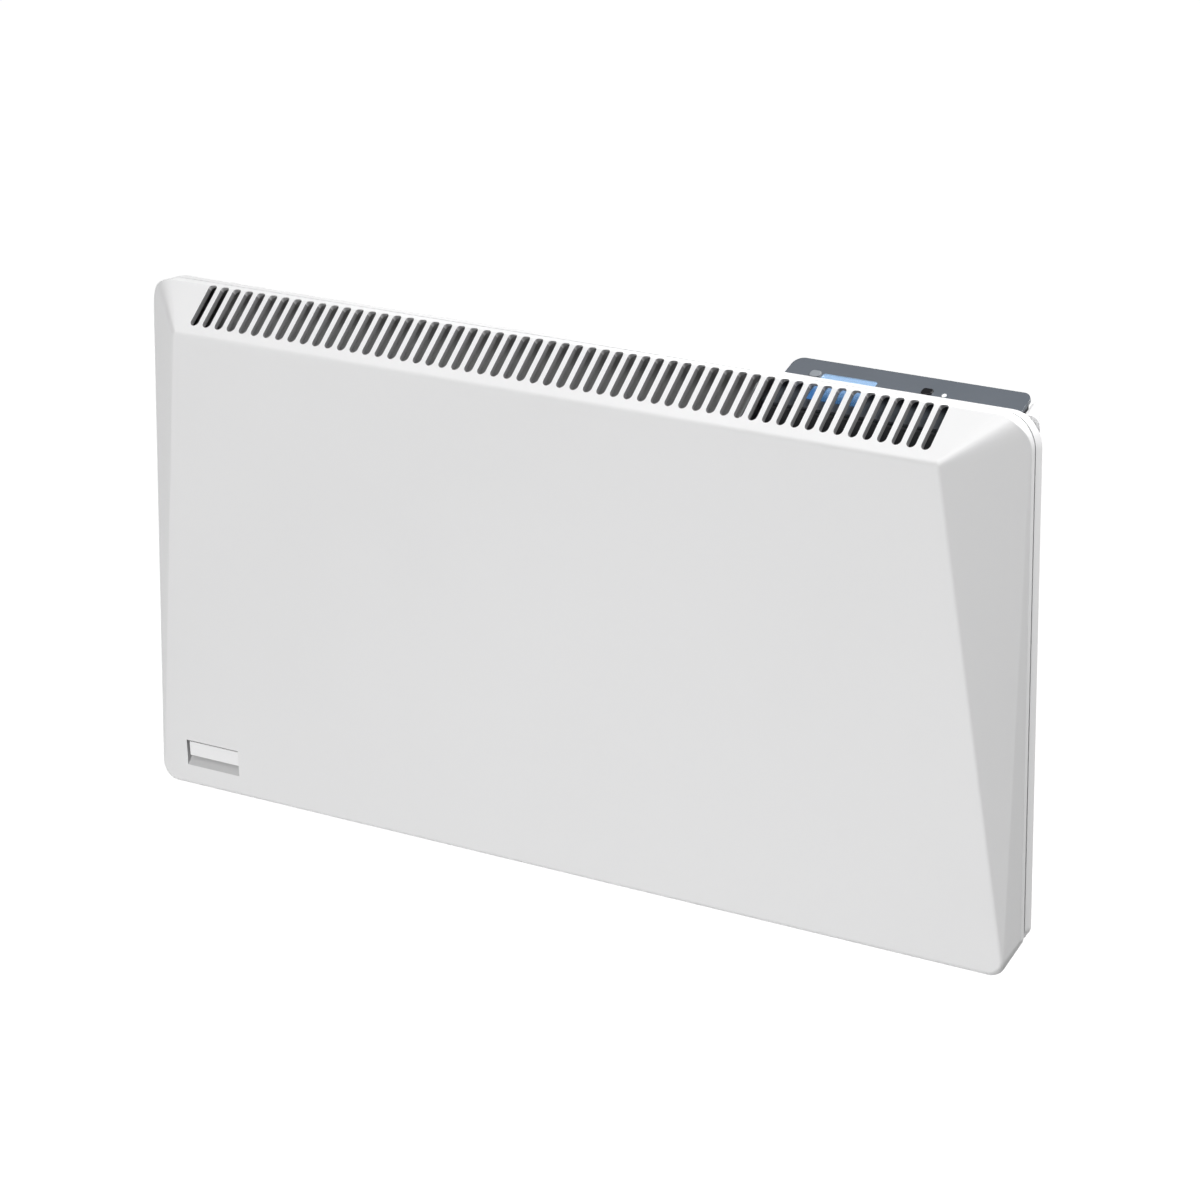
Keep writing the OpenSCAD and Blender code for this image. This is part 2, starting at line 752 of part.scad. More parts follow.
// Sheet between the hot side and the controls, cut to the cover's inner shape
module partition_plate() {
    air = cover_wall + 1.5;
    foot = foot_z + 40;
    head = top_z - casing_wall - tongue_t - 3;
    lean = tan(front_lean);
    color("lightgray") {
        difference() {
            profile_x(partition_x, partition_t) polygon([
                [inner_y, foot], [toe_y + air - lean * (foot - foot_z), foot],
                [fold_y + air, top_z - fold_top_in - fold_r / 2],
                [rim_y + air - (top_z - head) * 0.2, head], [inner_y, head]
            ]);
            translate([partition_x - cut, lead_hole_y, lead_hole_z]) bar_x(lead_hole_r, partition_t + 2 * cut);
        }
        block([partition_x - 8, inner_y - partition_t, foot],
            [partition_x + partition_t, inner_y, foot + 120]);
    }
}

module fin_section() {
    difference() {
        union() {
            circle(boss_r);
            intersection() {
                union() {
                    for (a = [-1, 1] * 14) rotate(a) square([fin_t, element_h * 1.2], center = true);
                    for (a = [-1, 1] * 38) rotate(a) square([fin_t, element_h * 1.2], center = true);
                    for (a = [-1, 1] * 62) rotate(a) square([fin_t, element_h * 1.2], center = true);
                }
                rounded_rect(element_d, element_h, 3);
            }
            for (s = [-1, 1]) translate([0, s * element_h / 2 - s * fin_t / 2])
                square([element_d * 0.8, fin_t], center = true);
        }
        circle(rod_r + rod_fit);
    }
}

module element_fins() {
    slit = 2;
    slit_n = floor((element_l / 2 - 10) / slit_pitch);
    color("darkgray") difference() {
        translate([0, element_y, element_z]) profile_x(element_mid_x - element_l / 2, element_l) fin_section();
        for (i = [-slit_n : slit_n], s = [-1, 1])
            translate([element_mid_x + i * slit_pitch, element_y, element_z + s * (boss_r + 2 + element_h / 2)])
                cube([slit, element_d + 2 * cut, element_h], center = true);
    }
}

module element_rod() {
    l = 2 * (ebracket_x + rod_out);
    color("dimgray") translate([element_mid_x - l / 2, element_y, element_z]) bar_x(rod_r, l);
}

module element_bushes() {
    color("ivory") for (s = [-1, 1])
        translate([element_mid_x + s * ebracket_x, element_y, element_z])
        rotate([0, s * 90, 0]) difference() {
            union() {
                translate([0, 0, -bush_l / 2]) cylinder(r = bush_r, h = bush_l);
                translate([0, 0, ebracket_t / 2]) cylinder(r = bush_flange_r, h = bush_flange_t);
            }
            translate([0, 0, -bush_l]) cylinder(r = rod_r + rod_fit, h = 2 * bush_l);
        }
}

// Bent sheet that carries one end of the element; s is -1 at the left and 1 at the right
module element_bracket(s) {
    x = element_mid_x + s * ebracket_x;
    low_z = element_z - ebracket_h / 2;
    high_z = element_z + ebracket_h / 2;
    outer = x + s * ebracket_flange;
    x0 = min(x - s * ebracket_t / 2, outer);
    x1 = max(x - s * ebracket_t / 2, outer);
    color("silver") difference() {
        union() {
            block([x - ebracket_t / 2, baffle_y, low_z], [x + ebracket_t / 2, inner_y, high_z]);
            block([x0, inner_y - ebracket_t, low_z], [x1, inner_y, high_z]);
            block([x0, baffle_y, low_z], [x1, baffle_y + ebracket_t, high_z]);
        }
        translate([x - cut * 2, element_y, element_z]) bar_x(bush_r + rod_fit, 4 * cut);
    }
}
module left_element_bracket() { element_bracket(-1); }
module right_element_bracket() { element_bracket(1); }

module element_terminals() {
    tab_l = 12;
    tab_w = 6.3;
    tab_t = 0.8;
    color("goldenrod") for (s = [-1, 1]) {
        x = element_mid_x + s * (ebracket_x + rod_out);
        block([min(x, x + s * tab_l), element_y - tab_t / 2, element_z - tab_w / 2],
            [max(x, x + s * tab_l), element_y + tab_t / 2, element_z + tab_w / 2]);
    }
}

// Screws that hold the element brackets to the casing's back
module element_screws() {
    color("silver") for (s = [-1, 1], z = [-1, 1] * ebracket_h * 0.36)
        translate([element_mid_x + s * (ebracket_x + ebracket_flange * 0.62), inner_y - ebracket_t, element_z + z])
        bar_y(head_r, head_t);
}

module thermal_cutout() {
    can_r = 8;
    can_t = 5;
    color("silver") translate([cutout_x, shield_front_y, cutout_z]) {
        bar_y(can_r, can_t);
        translate([0, -can_t, 0]) bar_y(can_r - 1.5, 3);
        for (s = [-1, 1]) block([s * 4.5 - 1.8, -can_t - 9, -0.4], [s * 4.5 + 1.8, -can_t - 3, 0.4]);
        block([-14, -0.8, -5], [14, 0, 5]);
    }
}

// ---------- controls ----------

// Everything below the fascia's underside, for trimming the housing
module below_fascia(drop) {
    on_fascia() block([fascia_x0 - cut, -housing_h * 2, -drop - housing_h * 2],
        [fascia_x1 + cut, fascia_rear * 3, -drop]);
}

module control_housing() {
    color("dimgray") difference() {
        union() {
            intersection() {
                difference() {
                    block([housing_x0, housing_front_y, housing_low_z], [housing_x1, housing_rear_y, top_z + 20]);
                    block([housing_x0 + housing_wall, housing_front_y + housing_wall, housing_low_z + housing_wall],
                        [housing_x1 - housing_wall, housing_rear_y - housing_wall, top_z + 20 + cut]);
                }
                below_fascia(fascia_t);
            }
            for (s = [[housing_x0 - housing_flange, housing_x0], [housing_x1, housing_x1 + housing_flange]])
                block([s[0], inner_y - housing_flange_t, housing_low_z],
                    [s[1], inner_y, flange_top_z]);
            for (x = [-1, 1] * (main_board_w / 2 - 6), z = [-1, 1] * (main_board_h / 2 - 6))
                translate([main_board_x + x, housing_rear_y - housing_wall, main_board_z + z])
                    bar_y(post_r, housing_rear_y - housing_wall - main_board_y);
        }
        for (x = housing_hole_x)
            translate([x, housing_front_y + 10, housing_low_z - cut])
                cylinder(r = wire_r * 1.6, h = housing_wall + 2 * cut);
    }
}

module housing_screws() {
    color("silver") for (x = [housing_x0 - housing_flange / 2 - 0.2, housing_x1 + housing_flange / 2 + 0.2],
        z = [housing_low_z + 10, flange_top_z - 10])
        translate([x, inner_y - housing_flange_t, z]) bar_y(head_r * 0.9, head_t);
}

module key_shape(grow) {
    rounded_rect(key_w + 2 * grow, key_l + 2 * grow, min(key_r, key_l / 2.5) + grow);
}

module fascia_plate() {
    mid_x = (fascia_x0 + fascia_x1) / 2;
    deep = fascia_t + 2 * cut;
    color("darkslategray") on_fascia() difference() {
        translate([0, 0, -fascia_t]) linear_extrude(fascia_t) {
            translate([fascia_x0, -fascia_front]) square([fascia_w, fascia_front + fascia_rear - fascia_r]);
            translate([fascia_x0 + fascia_r, 0]) square([fascia_w - 2 * fascia_r, fascia_rear]);
            for (s = [-1, 1]) translate([mid_x + s * (fascia_w / 2 - fascia_r), fascia_rear - fascia_r])
                circle(fascia_r);
        }
        translate([lcd_x, lcd_y, -fascia_t - cut]) linear_extrude(deep)
            rounded_rect(lcd_w + 2 * slide_gap, lcd_l + 2 * slide_gap, lcd_frame + slide_gap);
        for (x = [mode_key_x, select_key_x]) translate([x, key_y, -fascia_t - cut])
            linear_extrude(deep) key_shape(slide_gap);
        translate([lamp_x, lamp_y, -fascia_t - cut]) cylinder(r = lamp_r + rod_fit, h = deep);
    }
}

module display_window() {
    color("lightskyblue") on_fascia() translate([lcd_x, lcd_y, -lcd_glass_t])
        linear_extrude(lcd_glass_t) rounded_rect(lcd_w, lcd_l, lcd_frame);
}

module display_module() {
    color("steelblue") on_fascia() {
        translate([lcd_x, lcd_y, -lcd_glass_t - lcd_module_t]) linear_extrude(lcd_module_t)
            rounded_rect(lcd_w - 0.4, lcd_l - 0.4, lcd_frame - 0.2);
        translate([lcd_x, lcd_y, -pad_drop])
            linear_extrude(pad_drop - lcd_glass_t - lcd_module_t)
            rounded_rect(lcd_w - 6, lcd_l - 6, lcd_frame);
    }
}

// Cap, stem and the flange under the fascia that keeps the key in
module key_at(x) {
    on_fascia() translate([x, key_y, 0]) {
        translate([0, 0, -fascia_t - fit_gap]) linear_extrude(fascia_t + fit_gap + key_rise) key_shape(0);
        translate([0, 0, -fascia_t - fit_gap - key_flange_t]) linear_extrude(key_flange_t) key_shape(key_flange);
        translate([0, 0, -fascia_t - fit_gap - key_flange_t - key_stem_l + 0.2])
            cylinder(r = 1.5, h = key_stem_l);
    }
}
module mode_key() { color("silver") key_at(mode_key_x); }
module select_key() { color("black") key_at(select_key_x); }

module lamp_lens() {
    color("white") on_fascia() translate([lamp_x, lamp_y, 0]) {
        translate([0, 0, -fascia_t]) cylinder(r = lamp_r, h = fascia_t + lens_rise);
        translate([0, 0, -pad_drop]) cylinder(r = lamp_r + 0.8, h = pad_drop - fascia_t);
    }
}

module keypad_board() {
    color("darkgreen") on_fascia() {
        translate([fascia_x0 + 10, -16, -pad_drop - board_t]) cube([lamp_x + 14 - fascia_x0 - 10, 25, board_t]);
        for (x = [fascia_x0 + 14, lamp_x + 10], y = [-12, 5])
            translate([x, y, -pad_drop]) cylinder(r = 2, h = pad_drop - fascia_t);
    }
}

module key_switches() {
    color("silver") on_fascia() for (x = [mode_key_x, select_key_x])
        translate([x, key_y, -pad_drop]) {
            translate([-3, -3, 0]) cube([6, 6, switch_h * 0.6]);
            cylinder(r = 1.6, h = switch_h);
        }
}

module control_board() {
    color("darkgreen") translate([main_board_x - main_board_w / 2, main_board_y - board_t,
        main_board_z - main_board_h / 2])
        cube([main_board_w, board_t, main_board_h]);
}

module board_screws() {
    color("silver") for (x = [-1, 1] * (main_board_w / 2 - 6), z = [-1, 1] * (main_board_h / 2 - 6))
        translate([main_board_x + x, main_board_y - board_t, main_board_z + z]) bar_y(head_r * 0.8, head_t * 0.8);
}

// A box that stands on the control board's front face
module on_board(x, z, w, d, h) {
    block([main_board_x + x - w / 2, main_board_y - board_t - d, main_board_z + z - h / 2],
        [main_board_x + x + w / 2, main_board_y - board_t, main_board_z + z + h / 2]);
}
module relay() { color("royalblue") on_board(-48, 8, 19, 15, 16); }
module transformer() {
    color("black") on_board(-14, -6, 30, 16, 26);
    color("goldenrod") on_board(-14, 12, 22, 12, 6);
}
module capacitor() { color("gold") on_board(22, 4, 18, 9, 14); }
module heat_sink() {
    color("silver") {
        on_board(56, 0, 24, 2, 40);
        for (i = [-2 : 2]) on_board(56 + i * 5, 0, 1.2, 14, 40);
    }
}

// ---------- supply side ----------

module terminal_block() {
    color("ivory") difference() {
        block([block_x - block_w / 2, inner_y - block_d, block_z - block_h / 2],
            [block_x + block_w / 2, inner_y, block_z + block_h / 2]);
        for (i = [-1 : 1]) translate([block_x + i * pole_pitch, inner_y - block_d / 2, block_z - block_h / 2 - cut])
            cylinder(r = 2.2, h = block_h + 2 * cut);
        for (i = [-1 : 1], z = [-1, 1] * block_h / 4)
            translate([block_x + i * pole_pitch, inner_y - block_d / 2, block_z + z]) bar_y(2, block_d);
    }
}

module terminal_screws() {
    color("goldenrod") for (i = [-1 : 1], z = [-1, 1] * block_h / 4)
        translate([block_x + i * pole_pitch, inner_y - block_d / 2 - wire_r, block_z + z])
            bar_y(2, block_d / 2 - wire_r - 1.5);
}

module cable_clamp() {
    color("ivory") {
        block([gland_x - clamp_w / 2, inner_y - clamp_off - clamp_t, clamp_z - 4],
            [gland_x + clamp_w / 2, inner_y - clamp_off, clamp_z + 4]);
        for (s = [-1, 1]) block([gland_x + s * (clamp_w / 2 - 4) - 4, inner_y - clamp_off, clamp_z - 4],
            [gland_x + s * (clamp_w / 2 - 4) + 4, inner_y, clamp_z + 4]);
    }
}

module clamp_screws() {
    color("silver") for (s = [-1, 1])
        translate([gland_x + s * (clamp_w / 2 - 4), inner_y - clamp_off - clamp_t, clamp_z]) bar_y(head_r, head_t);
}

// Hood behind the casing that turns the cable downwards
module cable_entry() {
    color("dimgray") difference() {
        union() {
            block([gland_x - entry_w / 2, back_y, gland_z],
                [gland_x + entry_w / 2, back_y + entry_d, gland_z + entry_h]);
            for (s = [-1, 1]) block([gland_x + s * (entry_w / 2 + 4) - 4, back_y, gland_z + 4],
                [gland_x + s * (entry_w / 2 + 4) + 4, back_y + 2.5, gland_z + entry_h - 4]);
        }
        block([gland_x - entry_w / 2 + entry_wall, back_y - cut, gland_z + entry_wall],
            [gland_x + entry_w / 2 - entry_wall, back_y + entry_d - entry_wall, gland_z + entry_h - entry_wall]);
        translate([gland_x, gland_y, gland_z - cut]) cylinder(r = gland_thread_r + rod_fit, h = entry_wall + 2 * cut);
    }
}

module entry_screws() {
    color("silver") for (s = [-1, 1], z = [10, entry_h - 10])
        translate([gland_x + s * (entry_w / 2 + 4.3), back_y + 2.5 + head_t, gland_z + z]) bar_y(head_r, head_t);
}

module cable_gland() {
    color("lightgray") translate([gland_x, gland_y, gland_z]) difference() {
        union() {
            translate([0, 0, -gland_l]) cylinder(r = gland_r - 1, h = gland_l);
            translate([0, 0, -gland_l * 0.65]) cylinder(r = gland_r, h = gland_l * 0.65 - 3.5);
            translate([0, 0, -3]) cylinder(r = gland_r, h = 3);
            cylinder(r = gland_thread_r, h = entry_wall + gland_nut_t + 1.5);
        }
        translate([0, 0, -gland_l - cut]) cylinder(r = gland_bore_r, h = gland_l * 2 + cut);
    }
}

module gland_nut() {
    color("lightgray") translate([gland_x, gland_y, gland_z + entry_wall]) difference() {
        cylinder(r = gland_thread_r + 2, h = gland_nut_t, $fn = 6);
        translate([0, 0, -cut]) cylinder(r = gland_thread_r + rod_fit, h = gland_nut_t + 2 * cut);
    }
}

module earth_stud() {
    color("goldenrod") translate([earth_x, inner_y, earth_z]) {
        bar_y(2, 12);
        for (d = [0, 4]) translate([0, -d, 0]) rotate([90, 0, 0]) cylinder(r = 4, h = 2.4, $fn = 6);
        translate([0, -2.4, 0]) bar_y(5, 0.8);
    }
}

module room_sensor() {
    color("ivory") {
        block([sensor_x - 5, inner_y - 6, sensor_z - 5], [sensor_x + 5, inner_y, sensor_z + 5]);
        translate([sensor_x, inner_y - 6, sensor_z]) sphere(2.4);
    }
}

module sensor_lead() {
    y = inner_y - 3;
    x = housing_hole_x[3];
    color("dimgray") wire([
        [sensor_x, y, sensor_z + 5], [sensor_x, y, housing_low_z - 60],
        [x, y - 6, housing_low_z - 30], [x, housing_hole_y, housing_low_z - 12],
        [x, housing_hole_y, housing_low_z + 6]
    ], lead_r);
}

// Leads from the terminal block's upper side into the housing
module supply_leads() {
    y = inner_y - block_d / 2;
    z = block_z + block_h / 2;
    color("saddlebrown") for (i = [0, 1]) {
        x = block_x + pole_pitch * i;
        h = housing_hole_x[i];
        wire([
            [x, y, z - 4], [x, y, z + 10 + 6 * i], [h + 10, y - 3, z + 26 + 6 * i],
            [h, housing_hole_y, housing_low_z - 16], [h, housing_hole_y, housing_low_z + 6]
        ], wire_r);
    }
}

// Leads to the thermal cut-out, from there to the element's right end, and back from its left end
module element_leads() {
    block_y = inner_y - block_d / 2;
    z = block_z + block_h / 2;
    low = foot_z + 28;
    x = housing_hole_x[2];
    tab_x = ebracket_x + rod_out + 8;
    tab_z = element_z - 3.15;
    tab_y = shield_front_y - 12;
    turn_z = element_z + ebracket_h / 2 + 7;
    color("firebrick") {
        wire([
            [x, housing_hole_y, housing_low_z + 6], [x, housing_hole_y, housing_low_z - 10],
            [x - 14, lead_hole_y - 9, housing_low_z - 24], [partition_x + 26, lead_hole_y - 9, lead_hole_z + 8],
            [partition_x + 14, lead_hole_y, lead_hole_z], [cutout_x + 14, lead_hole_y, lead_hole_z],
            [cutout_x + 4.5, tab_y, cutout_z + 12], [cutout_x + 4.5, tab_y, cutout_z + 0.4]
        ], wire_r);
        wire([
            [cutout_x - 4.5, tab_y, cutout_z - 0.4], [cutout_x - 4.5, tab_y, turn_z],
            [element_mid_x + tab_x - 10, tab_y, turn_z], [element_mid_x + tab_x, element_y, turn_z - 12],
            [element_mid_x + tab_x, element_y, element_z + 3.15]
        ], wire_r);
        wire([
            [block_x - pole_pitch, block_y, z - 4], [block_x - pole_pitch, block_y, z + 5],
            [block_x - 45, block_y, z + 2], [block_x - 66, block_y, block_z - 12],
            [block_x - 80, block_y, low], [element_mid_x - tab_x, block_y, low],
            [element_mid_x - tab_x, element_y, element_z - 24],
            [element_mid_x - tab_x, element_y, tab_z]
        ], wire_r);
    }
}

module rating_plate() {
    color("silver") block([60, back_y, foot_z + 24], [120, back_y + 0.4, foot_z + 54]);
}

wall_bracket();
bracket_bumpers();
rear_casing();
front_cover();
badge_plate();
cover_screws();
inlet_guard();
hanger_plates();
retaining_clips();
clip_rivets();
heat_shield();
front_baffle();
partition_plate();
element_fins();
element_rod();
element_bushes();
left_element_bracket();
right_element_bracket();
element_terminals();
element_screws();
thermal_cutout();
control_housing();
housing_screws();
fascia_plate();
display_window();
display_module();
mode_key();
select_key();
lamp_lens();
keypad_board();
key_switches();
control_board();
board_screws();
relay();
transformer();
capacitor();
heat_sink();
terminal_block();
terminal_screws();
cable_clamp();
clamp_screws();
cable_entry();
entry_screws();
cable_gland();
gland_nut();
earth_stud();
room_sensor();
sensor_lead();
supply_leads();
element_leads();
rating_plate();
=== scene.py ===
import math
import bpy
import bmesh
from mathutils import Matrix, Vector


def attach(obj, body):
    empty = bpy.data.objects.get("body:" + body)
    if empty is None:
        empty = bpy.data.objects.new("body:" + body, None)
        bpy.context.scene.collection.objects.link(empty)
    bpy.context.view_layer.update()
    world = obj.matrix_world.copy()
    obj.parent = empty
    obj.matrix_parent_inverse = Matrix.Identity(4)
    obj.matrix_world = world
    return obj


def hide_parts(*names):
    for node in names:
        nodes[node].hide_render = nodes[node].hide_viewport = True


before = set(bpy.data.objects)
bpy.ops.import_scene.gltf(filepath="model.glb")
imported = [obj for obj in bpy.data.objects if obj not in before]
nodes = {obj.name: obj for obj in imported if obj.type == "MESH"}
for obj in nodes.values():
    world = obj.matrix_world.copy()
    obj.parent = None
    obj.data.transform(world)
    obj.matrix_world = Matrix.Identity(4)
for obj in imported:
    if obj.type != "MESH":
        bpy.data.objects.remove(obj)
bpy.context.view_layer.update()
mm = 0.001

shot = {
    "spot": (2.1857, -2.8439, 0.9659),
    "turn": 37.5,  # degrees round the vertical
    "dip": 15.09,  # degrees below level
    "roll": 0.01,
    "lens": 151.24,
    "sensor": 36,
    "clip": (0.05, 200),
}


def placeCamera():
    data = bpy.data.cameras.new("shotCamera")
    data.lens = shot["lens"]
    data.sensor_width = shot["sensor"]
    data.dof.use_dof = False
    data.clip_start, data.clip_end = shot["clip"]
    camera = bpy.data.objects.new("shotCamera", data)
    camera.matrix_world = (
        Matrix.Translation(shot["spot"])
        @ Matrix.Rotation(math.radians(shot["turn"]), 4, "Z")
        @ Matrix.Rotation(math.radians(90 - shot["dip"]), 4, "X")
        @ Matrix.Rotation(math.radians(shot["roll"]), 4, "Z")
    )
    bpy.context.scene.collection.objects.link(camera)
    bpy.context.scene.camera = camera


placeCamera()
print("camera placed")


def shapeObject(name, bm, smooth=True):
    mesh = bpy.data.meshes.new(name)
    bm.to_mesh(mesh)
    bm.free()
    if smooth:
        mesh.shade_smooth()
    piece = bpy.data.objects.new(name, mesh)
    bpy.context.scene.collection.objects.link(piece)
    return piece


def evenNormals(piece, weight=60):
    even = piece.modifiers.new("evenNormals", "WEIGHTED_NORMAL")
    even.mode = "FACE_AREA"
    even.weight = weight
    even.keep_sharp = True


def softEdges(piece, width, segments=2, angle=35):
    # width in millimetres; edges that turn less than the angle stay as they are
    rounding = piece.modifiers.new("softEdges", "BEVEL")
    rounding.width = width * mm
    rounding.segments = segments
    rounding.profile = 0.5
    rounding.limit_method = "ANGLE"
    rounding.angle_limit = math.radians(angle)
    rounding.use_clamp_overlap = True
    rounding.miter_outer = "MITER_ARC"


def bakeModifiers(piece):
    bpy.context.view_layer.update()
    graph = bpy.context.evaluated_depsgraph_get()
    mesh = bpy.data.meshes.new_from_object(piece.evaluated_get(graph))
    piece.modifiers.clear()
    piece.data = mesh


def carve(piece, cutter, operation="DIFFERENCE"):
    step = piece.modifiers.new("carve", "BOOLEAN")
    step.operation = operation
    step.solver = "EXACT"
    step.object = cutter
    bakeModifiers(piece)
    bpy.data.objects.remove(cutter)


def mergeFlat(bm, weld, flat):
    # points within weld metres become one, and faces whose edge turns less than flat degrees too
    bmesh.ops.remove_doubles(bm, verts=bm.verts, dist=weld)
    bmesh.ops.dissolve_limit(
        bm, angle_limit=math.radians(flat), use_dissolve_boundaries=False,
        verts=bm.verts, edges=bm.edges,
    )


def settleOrder(bm):
    # carving uses several threads, so its points and faces come in another order each time
    for elements, place in (
        (bm.verts, lambda v: v.co[:]),
        (bm.edges, lambda e: sorted(v.index for v in e.verts)),
        (bm.faces, lambda f: sorted(v.index for v in f.verts)),
    ):
        elements.index_update()
        rank = {e.index: number for number, e in enumerate(sorted(elements, key=place))}
        elements.sort(key=lambda e: rank[e.index])
        elements.index_update()


def mergedMesh(piece, flat=0.5, carved=False):
    bm = bmesh.new()
    bm.from_mesh(piece.data)
    if carved:
        settleOrder(bm)
    mergeFlat(bm, weld=1e-6, flat=flat)
    return bm


def dress(piece, body, slotName, materials, *cadNodes):
    for material in materials:
        piece.data.materials.append(material)
    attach(piece, body)
    if cadNodes:
        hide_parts(*cadNodes)
    return piece


def softCopy(nodeName, body, slotName, materials, width, segments=2, angle=35, bm=None):
    piece = shapeObject(nodeName + "Soft", bm or mergedMesh(nodes[nodeName]))
    piece.data.materials.clear()
    softEdges(piece, width, segments, angle)
    evenNormals(piece)
    return dress(piece, body, slotName, materials, nodeName)


def newGroup(name, inputs, outputs):
    group = bpy.data.node_groups.new(name, "ShaderNodeTree")
    for label, kind, value in inputs:
        socket = group.interface.new_socket(name=label, in_out="INPUT", socket_type=kind)
        socket.default_value = value
    for label, kind in outputs:
        group.interface.new_socket(name=label, in_out="OUTPUT", socket_type=kind)
    start = group.nodes.new("NodeGroupInput")
    end = group.nodes.new("NodeGroupOutput")
    return group, start, end


def addNode(tree, kind, **values):
    node = tree.nodes.new(kind)
    for key, value in values.items():
        setattr(node, key, value)
    return node


def makeGrainGroup():
    # fine skin of a coated or moulded surface, with slow patches of tone
    group, start, end = newGroup(
        "surfaceGrain",
        [("Grain Scale", "NodeSocketFloat", 900), ("Grain Height", "NodeSocketFloat", 0.00002),
         ("Patch Scale", "NodeSocketFloat", 9), ("Stretch", "NodeSocketVector", (1, 1, 1))],
        [("Patch", "NodeSocketFloat"), ("Speck", "NodeSocketFloat"), ("Normal", "NodeSocketVector")],
    )
    links = group.links
    place = addNode(group, "ShaderNodeTexCoord")
    stretch = addNode(group, "ShaderNodeVectorMath", operation="MULTIPLY")
    links.new(place.outputs["Object"], stretch.inputs[0])
    links.new(start.outputs["Stretch"], stretch.inputs[1])
    fine = addNode(group, "ShaderNodeTexNoise")
    fine.inputs["Detail"].default_value = 2
    fine.inputs["Roughness"].default_value = 0.5
    links.new(stretch.outputs[0], fine.inputs["Vector"])
    links.new(start.outputs["Grain Scale"], fine.inputs["Scale"])
    slow = addNode(group, "ShaderNodeTexNoise")
    slow.inputs["Detail"].default_value = 3
    links.new(stretch.outputs[0], slow.inputs["Vector"])
    links.new(start.outputs["Patch Scale"], slow.inputs["Scale"])
    bump = addNode(group, "ShaderNodeBump")
    bump.inputs["Strength"].default_value = 1
    links.new(fine.outputs["Fac"], bump.inputs["Height"])
    links.new(start.outputs["Grain Height"], bump.inputs["Distance"])
    links.new(slow.outputs["Fac"], end.inputs["Patch"])
    links.new(fine.outputs["Fac"], end.inputs["Speck"])
    links.new(bump.outputs["Normal"], end.inputs["Normal"])
    return group


def makeSpangleGroup():
    # crystals of a zinc coat
    group, start, end = newGroup(
        "zincSpangle",
        [("Crystal Scale", "NodeSocketFloat", 160)],
        [("Crystal", "NodeSocketFloat"), ("Edge", "NodeSocketFloat")],
    )
    links = group.links
    place = addNode(group, "ShaderNodeTexCoord")
    warp = addNode(group, "ShaderNodeTexNoise")
    warp.inputs["Scale"].default_value = 60
    mix = addNode(group, "ShaderNodeMix", data_type="VECTOR")
    mix.inputs["Factor"].default_value = 0.004
    cells = addNode(group, "ShaderNodeTexVoronoi")
    links.new(place.outputs["Object"], warp.inputs["Vector"])
    links.new(place.outputs["Object"], mix.inputs[4])
    links.new(warp.outputs["Color"], mix.inputs[5])
    links.new(mix.outputs[1], cells.inputs["Vector"])
    links.new(start.outputs["Crystal Scale"], cells.inputs["Scale"])
    tone = addNode(group, "ShaderNodeSeparateColor")
    links.new(cells.outputs["Color"], tone.inputs[0])
    links.new(tone.outputs[0], end.inputs["Crystal"])
    links.new(cells.outputs["Distance"], end.inputs["Edge"])
    return group


grainGroup = makeGrainGroup()
spangleGroup = makeSpangleGroup()
print("shared node groups ready")


def startMaterial(name):
    material = bpy.data.materials.new(name)
    material.use_nodes = True
    tree = material.node_tree
    tree.nodes.clear()
    out = addNode(tree, "ShaderNodeOutputMaterial")
    shader = addNode(tree, "ShaderNodeBsdfPrincipled")
    tree.links.new(shader.outputs[0], out.inputs["Surface"])
    return material, tree, shader


def toneMix(tree, factor, dark, light):
    mix = addNode(tree, "ShaderNodeMix", data_type="RGBA")
    mix.inputs[6].default_value = (*dark, 1)
    mix.inputs[7].default_value = (*light, 1)
    tree.links.new(factor, mix.inputs["Factor"])
    return mix.outputs[2]


def spread(tree, value, low, high):
    # noise keeps mostly between 0.3 and 0.7, which becomes low to high
    span = addNode(tree, "ShaderNodeMapRange")
    span.inputs["From Min"].default_value = 0.3
    span.inputs["From Max"].default_value = 0.7
    span.inputs["To Min"].default_value = low
    span.inputs["To Max"].default_value = high
    tree.links.new(value, span.inputs["Value"])
    return span.outputs["Result"]


def grainMaterial(name, look):
    material, tree, shader = startMaterial(name)
    grain = addNode(tree, "ShaderNodeGroup", node_tree=grainGroup)
    grain.inputs["Grain Scale"].default_value = look.get("grainScale", 900)
    grain.inputs["Grain Height"].default_value = look.get("grainHeight", 0.00001)
    grain.inputs["Patch Scale"].default_value = look.get("patchScale", 9)
    grain.inputs["Stretch"].default_value = look.get("stretch", (1, 1, 1))
    toneFrom = grain.outputs["Speck" if look.get("speckled") else "Patch"]
    tone = toneMix(tree, toneFrom, look["dark"], look["light"])
    tree.links.new(tone, shader.inputs["Base Color"])
    rough = spread(tree, grain.outputs["Patch"], *look["rough"])
    tree.links.new(rough, shader.inputs["Roughness"])
    tree.links.new(grain.outputs["Normal"], shader.inputs["Normal"])
    shader.inputs["Metallic"].default_value = look.get("metal", 0)
    shader.inputs["Coat Weight"].default_value = look.get("coat", 0)
    shader.inputs["Coat Roughness"].default_value = look.get("coatRough", 0.05)
    return material


